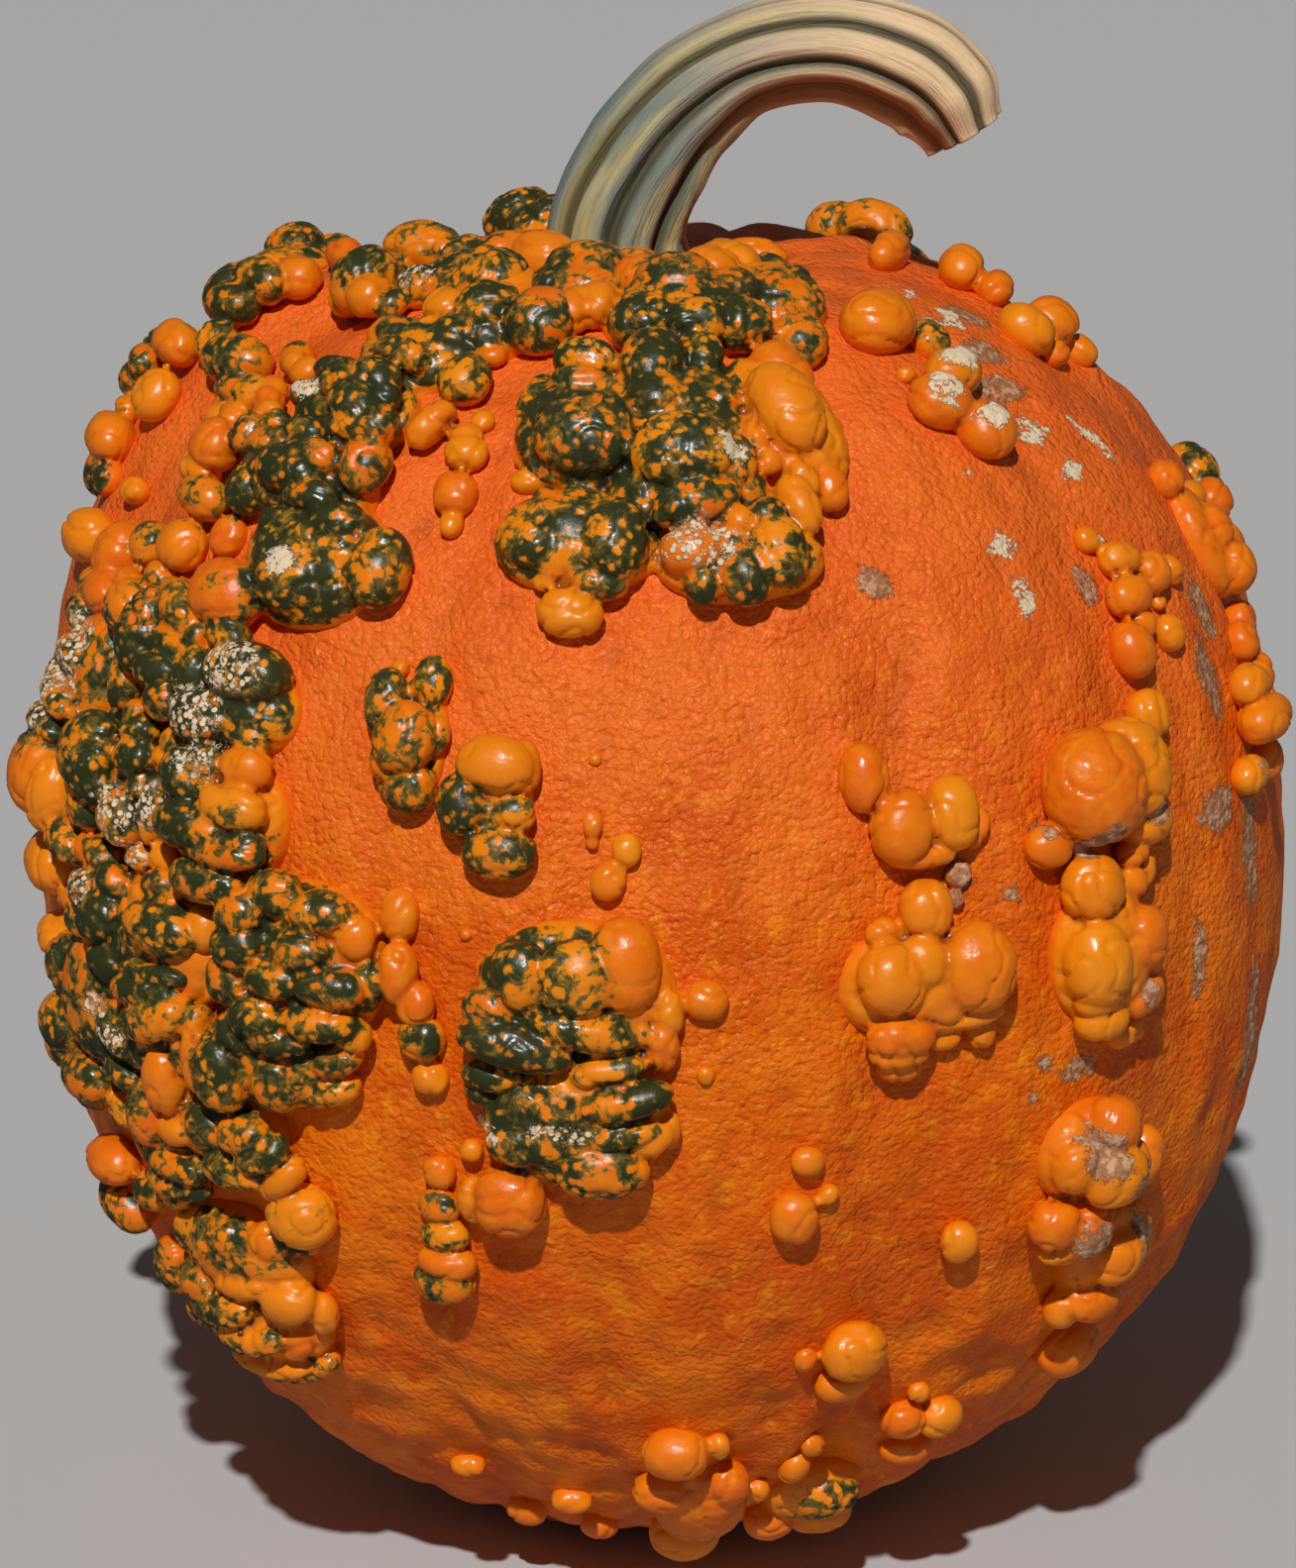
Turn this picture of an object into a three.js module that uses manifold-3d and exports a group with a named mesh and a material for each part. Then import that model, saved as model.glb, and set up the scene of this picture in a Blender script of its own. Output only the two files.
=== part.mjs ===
// Warty winter squash: a ribbed orange fruit with heaps of warts, and a curved ridged stem.
// Millimetres, +Z up. The origin is the centre of the flat spot the fruit rests on, and -Y is its front.
import * as THREE from "three";
import { mergeVertices } from "three/addons/utils/BufferGeometryUtils.js";
import Module from "manifold-3d";

const wasm = await Module();
wasm.setup();
const rad = THREE.MathUtils.degToRad;

// Driving sizes of the fruit
const BELLY_R = 136; // greatest radius of the skin, warts left out
const TOP_H = 145; // height of the upper half above the belly, before the dimple
const TOP_POWER = 2.3; // how square the upper half is
const BOTTOM_H = 142; // depth of the lower half, before the flat spot
const BOTTOM_POWER = 2.0;
const BELLY_Z = 137; // height of the belly line above the floor
const DIMPLE_DEPTH = 9; // dimple that holds the stem
const DIMPLE_WIDTH = 13; // degrees from the top
const BODY_AROUND = 50; // facets round the fruit
const BODY_UP = 24;

// Rib valleys: turn (degrees, 0 at the front, to the right), depth (mm), half width (degrees)
const VALLEYS = [
  [-176, 4, 7], [-148, 4, 7], [-122, 4, 7], [-74, 5, 9], [-23, 2, 6], [-4.5, 1, 4],
  [21, 3.5, 6], [50, 3, 7], [80, 3, 7], [108, 4, 7], [134, 4, 7], [160, 4, 7],
];
// Swellings of the skin: turn, rise (degrees), height (mm), width in turn, width in rise (degrees)
const SWELLINGS = [[-96, 52, 9, 17, 15], [-95, 30, 3, 15, 12]];

// Warts
const WART_OUT = 0.72; // half thickness out of the skin, as a share of the wart's mean half width
const WART_SINK = 0.35; // centre above the skin, as a share of the half thickness
const WART_SCALE = 0.92; // the read sizes are outer ones
const CROWD_REACH = 9; // mm over which warts crowd each other up
const CROWD_START = 0.45;
const CROWD_LIFT = 7; // mm, the most that a crowded wart is lifted
const CROWD_OWN = 40; // mm2, the most that one wart counts
const SMALLEST = 46; // mm2, half width times half height of the smallest wart kept as a solid
const ROUNDER = 190; // mm2, from here a wart has more facets
const FEW_FACETS_SIZE = 1.12; // a faceted ball is made this much larger, to have a round one's size
const MANY_FACETS_SIZE = 1.04;

// Stem
const STEM_RIDGES = 8;
const STEM_TURN = 0.21; // radians, where the first groove starts at the base
const STEM_TWIST = -0.5; // radians that the ridges turn from base to tip
const RIDGE_TOP = 1.08; // radius on a ridge, as a share of the stem's radius
const GROOVE_DEPTH = 0.26;
const GROOVE_SHARPNESS = 1.6;
const STEM_GAP = 0.4; // clearance to the fruit

const CUTTER = 500; // mm, width of the box that cuts the flat spot
const RIND_COLOUR = "#d9660f";
const STEM_COLOUR = "#9a8f63";

// Warts of the seen side, read by eye to half a degree and half a millimetre:
// turn, rise (degrees), half width, half height (mm), tilt (degrees), green share
const MIDDLE = [
  [-3, 11.5, 7.5, 10, 0, 0.15], [-7, 10.5, 8.5, 8.5, 0, 0.4], [-11, 10.5, 6.5, 7.5, 20, 0.7],
  [-13.5, 10, 2.5, 5, 0, 0.5], [-13.5, 7.5, 6, 5, 0, 0.5], [-6.5, 6.5, 11.5, 4.5, -10, 0.7],
  [-2, 6, 4, 3.5, 0, 0.3], [0, 5, 3.5, 5.5, 0, 0.2], [-11.5, 5, 12, 5, -10, 0.95],
  [-4.5, 3, 8.5, 3.5, 10, 0.3], [-13.5, 2, 6.5, 3.5, 0, 0.8], [-3, 0.5, 10.5, 4, 12, 0.6],
  [-14.5, 0.5, 4, 3.5, 0, 0.9], [-11, 0, 5.5, 3.5, 0, 0.7], [-11, -3.5, 8, 5.5, 0, 0.8],
  [-3, -2.5, 8, 3, 15, 0.4], [-1, -3, 5.5, 3.5, 30, 0.1], [-5, -5.5, 10, 6.5, 0, 0.35],
  [0.5, -2.5, 2.5, 4, 0, 0.1], [0.5, 7.5, 3, 5.5, 0, 0.15], [3.5, 8.5, 4.5, 4, 0, 0],
  [3.5, 2, 2, 2, 0, 0], [-12.5, -9, 7.5, 7.5, 0, 0.15], [-15.5, -9.5, 3.5, 5, 0, 0.1],
  [-16, -5.5, 2.5, 2.5, 0, 0], [-19, -8, 3.5, 3.5, 0, 0], [-19, -11, 4.5, 3.5, 0, 0.4],
  [-18.5, -13.5, 5, 3.5, 0, 0.3], [-18.5, -16, 6.5, 3.5, 0, 0.1], [-19, -18, 6.5, 5, 0, 0.5],
  [-22.5, 14, 4, 5.5, 0, 0.05], [-22, 9.5, 4, 6.5, 0, 0.05], [-20.5, 7, 4, 4.5, 0, 0],
  [-20, 4, 5, 4.5, 0, 0.3], [-19.5, 0.5, 4, 3.5, 0, 0], [-16.5, 13, 1.5, 1.5, 0, 0],
  [-25.5, 30.5, 4.5, 7, 0, 0.4], [-21.5, 32.5, 4, 5.5, 0, 0.6], [-22.5, 28, 6.5, 7.5, 0, 0.3],
  [-20, 28.5, 2.5, 4, 0, 0.3], [-22, 24.5, 5.5, 5.5, 0, 0.7], [-24.5, 26.5, 3.5, 5, 0, 0.6],
  [-25.5, 33.5, 2, 2, 0, 0], [-14, 26.5, 8, 6, 0, 0.15], [-12, 26.5, 3.5, 5.5, 0, 0.1],
  [-16.5, 23.5, 5.5, 6.5, 0, 0.8], [-12.5, 23, 4.5, 4, 0, 0.3], [-13.5, 20, 7.5, 5.5, 0, 0.65],
  [-6, 22.5, 2, 3, 0, 0], [-3, 20.5, 3, 3.5, 0, 0], [-4.5, 18, 3.5, 4, -30, 0],
  [-6, 21, 1.5, 1.5, 0, 0], [-6, 27.5, 1.5, 1.5, 0, 0],
];
const UPPER = [
  [-11.5, 60, 7, 5, -10, 0.7], [-13.5, 62, 4.5, 3, 0, 0.05], [-17, 56.5, 3.5, 7, 0, 0.5],
  [-11.5, 57.5, 6.5, 4, 0, 0.6], [-7.5, 57, 4, 3.5, 0, 0.1], [-9.5, 52.5, 11, 9.5, 0, 1],
  [-6.5, 54, 5.5, 3, 0, 0.1], [-16.5, 51.5, 3.5, 2.5, 0, 0], [-16, 49.5, 3.5, 3, 0, 0],
  [-12.5, 46.5, 4.5, 4.5, 0, 0.6], [-9.5, 47, 4.5, 4, 0, 0.7], [-13, 43.5, 7, 6, 0, 0.6],
  [-5, 44, 7, 9, 0, 0.6], [-6.5, 41, 6, 4, 0, 0.7], [-4.5, 47, 3.5, 3.5, 0, 0.2],
  [-11.5, 41, 3, 2.5, 0, 0], [-9, 38.5, 6.5, 5, 0, 0],
  [-1, 59.5, 7, 9, 0, 0.75], [-0.5, 56, 6.5, 6, 0, 0.8], [-2, 53, 4.5, 5, 0, 0.8],
  [2.5, 50.5, 11, 9, 0, 0.7], [7.5, 50, 5.5, 6.5, 0, 0.5], [-1.5, 48, 4, 5.5, 0, 0.8],
  [3.5, 46.5, 9.5, 5, 15, 0.8], [7, 56, 6, 5.5, 0, 0.8], [6, 61, 4.5, 6, 0, 1],
  [14.5, 54.5, 7.5, 11, 0, 0.05], [17, 59.5, 6, 8, 0, 0.05], [14, 52.5, 3.5, 4, 0, 0],
  [11, 52.5, 3, 4, 0, 0.1], [20.5, 54.5, 3.5, 8.5, 0, 0.1], [17.5, 51.5, 3, 5, 0, 0],
  [19, 49, 4, 5.5, 0, 0], [15.5, 49, 3, 4.5, 0, 0], [14, 46.5, 4.5, 7, 0, 0],
  [12, 50.5, 2.5, 3, 0, 0], [3, 43, 6.5, 5.5, 0, 0.1], [4, 41, 4, 5.5, 0, 0.8],
  [8, 41, 5.5, 6.5, 0, 0.5], [11, 42.5, 6, 8, 0, 0.3], [10.5, 45, 4.5, 5, 0, 0.6],
  [8, 45, 4, 4, 0, 0.1], [14, 42.5, 2, 3.5, 0, 0],
  [85, 82, 8, 4, 0, 0.05], [45, 78, 6, 4, 0, 0.4],
  [-13, 67.5, 5, 6, 0, 0], [40, 82, 3, 3, 0, 0.2],
  [-22.5, 65, 8, 8, 0, 0.45], [-16.5, 66.5, 4.5, 6, 0, 0.05],
  [-58, 67, 5.5, 5.5, 0, 0.7], [-68, 64.5, 8, 7.5, 0, 0.5], [-58, 64, 3.5, 4, 0, 0.6],
  [-45, 65.5, 5, 5, 0, 0.2], [-71, 76, 7, 6, 0, 0.2],
  [-77, 73, 7, 5, 0, 0.7], [-84, 70, 9, 6, 0, 0.3], [-80, 66.5, 6, 4, 0, 0.4], [-76, 63, 5, 4, 0, 0.2],
  [-25, 55, 2.5, 2.5, 0, 0], [-26, 53, 3.5, 3, 0, 0.05], [-25, 51.5, 4.5, 4, 0, 0.15],
  [-24.5, 48, 4.5, 5, 0, 0.1], [-24, 45.5, 2.5, 3, 0, 0], [-30.5, 53, 6.5, 3, 63, 0.1],
  [-30, 58, 5.5, 6, 0, 0.5], [-36.5, 62, 5, 4.5, 0, 0.6], [-29, 61.5, 3, 2.5, 0, 0.1],
  [-46.5, 60.5, 6.5, 5, 0, 0.6], [-41.5, 62, 4, 3.5, 0, 0.3], [-40, 58, 7, 4, 0, 0.6],
  [-39.5, 54.5, 6.5, 5.5, 0, 0.6], [-37.5, 53.5, 5, 4, 0, 0.4], [-35.5, 51, 5, 5, 0, 0.9],
  [-38, 50.5, 6.5, 4, 0, 0.95], [-45, 58.5, 2, 2, 0, 0],
];
const CROWN = [
  [-23, 74, 9.5, 9, 0, 0.5], [-12, 79, 6, 6, 0, 0.3], [3, 69.5, 9, 8, 0, 0.55],
  [-6, 72.5, 6, 7, 0, 0.4], [25, 76, 10, 7, 0, 0.1], [12, 73, 7, 7, 0, 0.2],
  [14, 69, 6.5, 6.5, 0, 0.5], [30, 69.5, 6, 8, 0, 0.6], [24.5, 63.5, 6.5, 6.5, 0, 0.35],
  [-2.5, 65, 7.5, 7, 0, 0.95], [5.5, 64, 7, 5.5, 0, 0.7], [13, 64.5, 7, 6.5, 0, 0.85],
  [-44, 70, 9.5, 8, 0, 0.3], [-50, 77, 8, 7, 0, 0.1], [-33.5, 65, 7.5, 7.5, 0, 0.6],
];
const LEFT_HIGH = [
  [-41.5, 42, 6.5, 5, 0, 0.9], [-35, 43, 7, 5, 0, 0.8], [-38, 38.5, 9, 8, 0, 0.9],
  [-33.5, 41, 5, 5, 0, 0.6], [-29.5, 40.5, 6.5, 8.5, 0, 0.7], [-50, 44.5, 5.5, 6, 0, 0.8],
  [-43, 46, 9, 5, 0, 0.95], [-41, 47, 8, 4.5, 15, 0.7], [-39, 44.5, 7, 4, 0, 0.9],
  [-35, 48, 5.5, 6.5, 0, 0.3], [-55, 48.5, 4, 5, 0, 0.8], [-52, 49.5, 4, 4, 0, 0.9],
  [-49.5, 48, 7, 4, 15, 0.7], [-46, 49.5, 6, 4, 15, 0.7], [-50, 53, 6.5, 3.5, 0, 0.8],
  [-48, 55.5, 8, 3.5, 0, 0.7], [-43.5, 54, 6, 5, 0, 0.8], [-39, 52, 8, 5.5, -30, 0.9],
  [-40, 55, 5, 5, 0, 0.6], [-56.5, 42.5, 7.5, 4.5, 0, 0.3], [-56.5, 38.5, 6, 5.5, 0, 0.2],
  [-51, 40.5, 4, 4.5, 0, 0.15], [-64, 37.5, 5.5, 5, 0, 0.35], [-62, 34, 5.5, 3.5, 0, 0.1],
  [-58, 35.5, 4, 3.5, 0, 0.2], [-69, 35.5, 7, 7.5, 0, 0], [-83, 34, 8, 6, 0, 0],
  [-80, 39.5, 4, 3, 0, 0], [-90, 40.5, 8, 5.5, 0, 0.1], [-87, 38, 4, 4, 0, 0.6],
  [-98, 47, 6, 5, 0, 0.5], [-96, 44.5, 5, 5, 0, 0.5], [-93, 42.5, 4.5, 3, 0, 0.5],
  [-95, 46, 6, 4, 0, 0.4], [-86, 46, 6, 6, 0, 0], [-90, 49.5, 8, 5, 0, 0],
  [-84, 52.5, 5, 5, 0, 0.5], [-78, 53, 9, 6, 0, 0.5], [-67, 56.5, 5, 4, 0, 0.3],
  [-87, 55, 7, 5, 0, 0.6], [-88, 57.5, 8, 5, 0, 0.6], [-87, 60, 6, 5, 0, 0.1],
  [-92, 64, 7, 4, 0, 0], [-70, 63.5, 8, 5, 0, 0], [-62, 63.5, 6, 5, 0, 0],
  [-59, 55.5, 4, 3.5, 0, 0], [-56.5, 57, 3, 2.5, 0, 0], [-65, 56, 5, 3, 0, 0],
  [-59.5, 52.5, 4, 3, 0, 0], [-74, 51.5, 6, 4, 0, 0.4], [-72, 49, 6, 3.5, 0, 0.1],
  [-62, 51.5, 6, 4.5, 0, 0.4], [-57.5, 51.5, 4, 3, 0, 0.1], [-62, 49.5, 5, 3, 0, 0.1],
  [-55.5, 50.5, 4, 3, 0, 0], [-59, 46.5, 6, 6, 0, 0], [-61, 48.5, 4, 3, 0, 0],
  [-60.5, 44.5, 6, 4, 0, 0], [-64, 43.5, 3, 3.5, 0, 0.3],
];
const LEFT = [
  [-40, 30.5, 10.5, 7, 0, 0.75], [-43.5, 26.5, 8, 6, -8, 0.9], [-38.5, 26, 6, 3.5, -8, 0.4],
  [-41.5, 23, 5, 5, -30, 0.8], [-37.5, 23.5, 6, 5, 0, 0.1], [-37.5, 20.5, 8.5, 5, 0, 0.2],
  [-41, 18.5, 11, 5.5, 0, 0.85], [-36.5, 18, 6, 4, 0, 0.6], [-43, 22, 7, 6, -30, 0.7],
  [-37.5, 17, 9.5, 3.5, 5, 0.5], [-39.5, 14.5, 9.5, 5, 0, 0.8], [-54, 31.5, 6.5, 9.5, 0, 0.7],
  [-50.5, 34, 8, 5, -30, 0.3], [-47.5, 32.5, 3.5, 3.5, 0, 0.8], [-45.5, 33, 4, 2, -35, 0.5],
  [-50.5, 29, 7, 4.5, 0, 0.9], [-46, 29.5, 4.5, 6, 0, 0.6], [-45.5, 36, 9, 7.5, 0, 0.2],
  [-43.5, 33, 6, 4, -15, 0.85], [-59.5, 32.5, 7, 6, 0, 0.4], [-66.5, 32.5, 7.5, 5, 0, 0.15],
  [-72, 32, 7, 5, 0, 0.3], [-70.5, 30, 8, 4.5, 0, 0.35], [-67, 27, 9, 4.5, 0, 0.6],
  [-69.5, 24.5, 8, 4.5, 0, 0.75], [-66, 23.5, 10, 3.5, -8, 0.5], [-67, 21, 10, 4, 0, 0.6],
  [-62, 22, 8, 3, 8, 0.4], [-56.5, 27.5, 4, 8, 0, 0.5], [-49, 27, 5, 4.5, 0, 0.6],
  [-51, 27, 2, 3, 0, 0.1], [-52.5, 25, 4, 3.5, 0, 0.1], [-51.5, 24, 5, 4, 0, 0.95],
  [-51, 22, 5.5, 4.5, 0, 0.7], [-48, 22.5, 3, 3, 0, 0.05], [-47, 24, 3.5, 3, 0, 0.5],
  [-56.5, 21, 9, 9, 0, 0.6], [-56, 19, 8, 5, 0, 0.8], [-57.5, 16.5, 5.5, 5, 0, 0.5],
  [-66.5, 17, 10, 10, 0, 0.25], [-69, 20, 8, 5, 0, 0.3], [-63.5, 16, 7, 9, 0, 0.1],
  [-65, 13, 9, 2.5, 0, 0.5], [-51.5, 17, 5.5, 7, 60, 0.4], [-48, 18.5, 3, 8, 0, 0.3],
  [-50, 20, 4, 3, 0, 0.2], [-61, 13, 8.5, 4.5, -20, 0.35], [-57, 13, 3.5, 4.5, 0, 0.2],
  [-54.5, 13, 5.5, 3, -20, 0.6], [-49.5, 14, 4, 3, -20, 0.3], [-47, 14.5, 3.5, 3, 0, 0.1],
  [-67.5, 9, 11, 7, 0, 0.1], [-62.5, 7, 7, 3, 0, 0], [-67.5, 2, 9, 5, 0, 0],
  [-52, 11.5, 5.5, 4, 0, 0.6], [-55, 10, 6, 5, 0, 0.7], [-52.5, 8.5, 7, 6, 0, 0.7],
  [-51.5, 5, 7, 5, 0, 0.95], [-57.5, 7, 6, 5, 0, 0.5], [-45.5, 12.5, 6, 4, 0, 0.3],
  [-48, 11, 4, 4, 0, 0.1], [-44.5, 9.5, 10.5, 6, 0, 0.6], [-41, 10, 5, 5, 0, 0],
  [-45.5, 5.5, 10, 3, 3, 0.6], [-46, 4, 10, 4, 8, 0.8], [-55, 3.5, 7, 2.5, -20, 0.6],
  [-52.5, 2.5, 5, 3.5, 0, 0.7], [-53, 0.5, 5, 3.5, 0, 0.8], [-44.5, 2, 10, 5.5, 20, 0.7],
  [-51, -1.5, 8, 4, -25, 0.8], [-46.5, -2.5, 6, 3, 0, 0.6], [-61.5, 1.5, 6, 7, 0, 0.5],
  [-62, -4, 9, 7, 0, 0.5], [-59, -1.5, 5, 3.5, 0, 0.6], [-54.5, -1, 4, 3, 0, 0.6],
  [-51.5, -5, 6.5, 4, -25, 0.8], [-58, -7.5, 8.5, 6, 0, 0.4], [-53.5, -9.5, 7, 3.5, -20, 0.5],
  [-60.5, -10, 6, 4, 0, 0.5],
];
const LEFT_MIDDLE = [
  [-29, 13.5, 7.5, 5, 0, 0.6], [-33, 14.5, 6.5, 5, 0, 0.4], [-35.5, 12.5, 6, 6, 0, 0.6],
  [-35.5, 10, 6.5, 6, 0, 0.75], [-30, 10.5, 6.5, 5, 0, 0.7], [-26, 12, 4.5, 5, 0, 0.05],
  [-36.5, 7, 6, 6, 0, 0.8], [-32, 8, 7, 4.5, 0, 0.8], [-27.5, 8, 8, 4.5, 0, 0.6],
  [-24.5, 8.5, 3.5, 4.5, 0, 0.7], [-33.5, 4.5, 7, 5, 0, 0.85], [-28.5, 5, 8, 4, 0, 0.6],
  [-32, 3, 8, 3.5, 0, 0.9], [-27, 5, 5, 4, 0, 0.2], [-26, 4, 4, 4, 0, 0.1],
  [-36, 2.5, 5, 5, 0, 0.95], [-37.5, -1, 6.5, 9, 0, 0.5], [-37, 1.5, 4.5, 4, 0, 0.8],
  [-32.5, -1, 6, 6.5, 0, 0.6], [-27.5, 1.5, 6, 3.5, 25, 0.6], [-28.5, -1.5, 7, 3.5, 15, 0.3],
  [-40.5, 0, 3, 9.5, 0, 0.2], [-42.5, -0.5, 2.5, 6, 0, 0.4], [-44.5, -3.5, 5, 8, 0, 0.1],
  [-40.5, -7, 6, 5, 0, 0.8], [-36, -6.5, 6.5, 4.5, 0, 0.4], [-34.5, -8, 7, 3.5, 20, 0.5],
  [-34, -7.5, 5.5, 3, 35, 0.4], [-37.5, -10, 9, 4, 0, 0.6], [-47.5, -7.5, 5.5, 8, 0, 0.6],
  [-44, -8, 6.5, 3.5, 0, 0.1], [-44.5, -11.5, 9, 3.5, 0, 0.3], [-45.5, -13.5, 9, 3.5, 0, 0.5],
];
const LOW = [
  [-58.5, -16, 8, 5, 0, 0.15], [-59, -20.5, 8, 5, -30, 0.4], [-53, -17.5, 5.5, 4.5, 0, 0.7],
  [-47.5, -15.5, 4.5, 4, 0, 0.4], [-46, -19, 5, 5.5, 0, 0.4], [-41, -18, 6, 5.5, 0, 0.4],
  [-36.5, -17.5, 5, 5, 0, 0.2], [-52.5, -25, 5.5, 7, 0, 0.3], [-45.5, -23.5, 7, 6, 0, 0.4],
  [-39.5, -21.5, 9, 3.5, 10, 0.2], [-42.5, -24.5, 9, 4.5, 10, 0.5], [-35.5, -22.5, 7, 5.5, 0, 0.05],
  [-40.5, -27, 10, 4.5, 8, 0.3], [-50.5, -29.5, 8, 4, 0, 0.5], [-36.5, -27.5, 6, 4.5, 35, 0.1],
  [-33, -24.5, 3.5, 5, 0, 0.1], [-41, -31, 12, 3, 5, 0.2], [-36.5, -31.5, 8, 3, 30, 0.4],
  [-43, -34, 8, 3, 0, 0.4], [-33, -10, 6.5, 3.5, 45, 0], [-32, -13.5, 7.5, 7, 0, 0.2],
  [-33.5, -17, 5, 2.5, 0, 0.6], [-12, -49.5, 4.5, 3, 0, 0], [-10, -57, 4, 4, 0, 0],
  [-25, -46, 4, 2.5, 0, 0], [-22, -57, 4.5, 4, 0, 0], [1.5, -38, 7, 6, 0, 0], [0.5, -45, 7, 5, 0, 0],
  [6, -38, 2.5, 3.5, 0, 0], [7.5, -44, 5, 6, 0, 0], [6, -50, 6.5, 6, 0, 0], [3.5, -57, 7.5, 7, 0, 0],
  [15.5, -43.5, 3.5, 4.5, 0, 0], [17, -40.5, 3.5, 2.5, -40, 0], [12, -47.5, 2.5, 3.5, 0, 0],
  [22, -50, 8, 7, 0, 0.3], [16, -55, 6, 6, 0, 0.1], [24, -55, 8, 5, 0, 0.2],
  [18, -26.5, 7, 6.5, 0, 0], [18, -31, 6.5, 4, 0, 0], [13.5, -27, 2.5, 3, 0, 0],
  [27, -37.5, 5, 4.5, 0, 0], [31, -37.5, 5, 5, 0, 0], [27.5, -34, 2.5, 2.5, 0, 0], [29.5, -42.5, 6, 3.5, 0, 0],
  [12, -6, 3.5, 3, 0, 0], [11, -11, 5, 5.5, 0, 0], [14, -9.5, 2.5, 2, 45, 0], [27, -16, 4, 4.5, 0, 0],
];
const RIGHT = [
  [17.5, 25.5, 5, 7, 0, 0], [17, 28, 1.5, 1.5, 0, 0], [20.5, 21.5, 6.5, 7.5, 0, 0.05],
  [25.5, 22, 5.5, 7.5, 0, 0], [22.5, 19, 7, 2.5, 0, 0], [28, 20.5, 4.5, 2, 70, 0.2],
  [26, 17, 3, 2.5, 45, 0], [25.5, 15, 2, 2, 0, 0], [22.5, 14.5, 5.5, 6.5, 0, 0],
  [18.5, 9.5, 7.5, 7.5, 0, 0], [18.5, 13, 4, 3, 0, 0], [21.5, 10.5, 6, 6, 0, 0],
  [26.5, 9.5, 8.5, 9.5, 0, 0.1], [19.5, 4.5, 7.5, 4.5, 0, 0], [19.5, 3, 6.5, 3.5, 0, 0],
  [20, 1.5, 5, 3, 0, 0], [17, 7, 3, 2, 0, 0], [26, 5.5, 8, 3, 5, 0], [24, 3.5, 4, 2.5, 0, 0],
  [27.5, 3.5, 3, 3.5, 0, 0], [39, 22, 11.5, 12, 0, 0.05], [43.5, 22.5, 9, 11, 0, 0.05],
  [45, 18.5, 7, 6, 0, 0.3], [34.5, 18, 5.5, 4.5, 0, 0], [38, 17.5, 2.5, 2.5, 0, 0],
  [38, 14, 7, 7, 0, 0.05], [43.5, 16, 4.5, 3, 30, 0], [43, 13.5, 4, 3.5, 0, 0],
  [45.5, 14.5, 2.5, 5, 0, 0], [41.5, 13, 2.5, 3.5, 0, 0], [37.5, 8, 7.5, 9.5, 0, 0],
  [42.5, 9, 6.5, 7, 0, 0], [44, 7, 4, 5, 0, 0], [38, 5, 6.5, 4, 0, 0], [38.5, 3, 6.5, 4.5, 0, 0],
  [43, 4, 6.5, 4.5, 15, 0.1], [42, 0.5, 4.5, 3, 0, 0.2], [44.5, 0.5, 2, 4, 0, 0],
  [40, -7, 6.5, 7, 0, 0], [36.5, -9.5, 6, 6, 0, 0.1], [39.5, -10.5, 8, 7, 0, 0.2],
  [42, -11, 5.5, 6.5, 0, 0], [35.5, -15, 6, 5.5, 0, 0.1], [38.5, -16, 6, 6.5, 0, 0],
  [37.5, -18, 7, 3, 0, 0.2], [44, -20.5, 8, 7, 0, 0.1], [43, -17.5, 3, 4, 0, 0],
  [46.5, -19, 3, 8, 0, 0], [50.5, -21.5, 4.5, 5.5, 0, 0], [43.5, -25, 8.5, 5.5, 0, 0.1],
  [41, -26, 4.5, 5, 0, 0], [47, -12.5, 5, 7, 0, 0], [47.5, -34, 8, 7, 0, 0],
];
const RIGHT_HIGH = [
   [41, 64, 9, 7.5, 0, 0], [51.5, 62, 4.5, 5, 0, 0.5],
  [39, 58.5, 2.5, 2, 0, 0], [46.5, 57.5, 7.5, 5.5, 0, 0.1], [39, 54.5, 7, 6, -30, 0.1],
  [43.5, 51.5, 6.5, 6.5, 0, 0], [91, 71, 8, 4, 0, 0], [92, 65, 7, 5, 0, 0], [90, 62, 6, 4, 0, 0],
  [76, 58.5, 6, 6.5, 0, 0.1], [86, 57, 7, 6, 0, 0.05], [80, 55.5, 4.5, 3, 0, 0], [88, 53.5, 4, 4, 0, 0],
  [51.5, 41, 3, 3, 0, 0], [54, 38.5, 5, 4, 0, 0], [52.5, 35.5, 5.5, 4.5, 0, 0], [53, 33, 3.5, 3, 0, 0],
  [57.5, 36.5, 4.5, 4.5, 0, 0], [61.5, 36, 3, 3.5, 0, 0], [57.5, 34, 2, 1.5, 0, 0],
  [57, 31.5, 3.5, 4, 0, 0], [74, 42, 5, 4.5, 0, 0], [82, 39, 5, 3.5, 0, 0], [89, 36.5, 6, 5, 0, 0],
  [76, 36.5, 6, 6, 0, 0], [76.5, 33, 7, 6, 0, 0], [85, 33.5, 5, 5, 0, 0], [77, 28.5, 5, 4, 0, 0],
  [71, 27.5, 4.5, 4.5, 0, 0], [50.5, 31.5, 5, 6, 0, 0], [50.5, 26, 5, 5.5, 0, 0],
  [67, 24.5, 6, 4.5, 0, 0], [72, 24.5, 4.5, 5, 0, 0], [67.5, 21.5, 9, 5, 0, 0],
  [64.5, 17.5, 6, 4, 0, 0], [70.5, 17.5, 4, 5, 0, 0],
];

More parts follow.
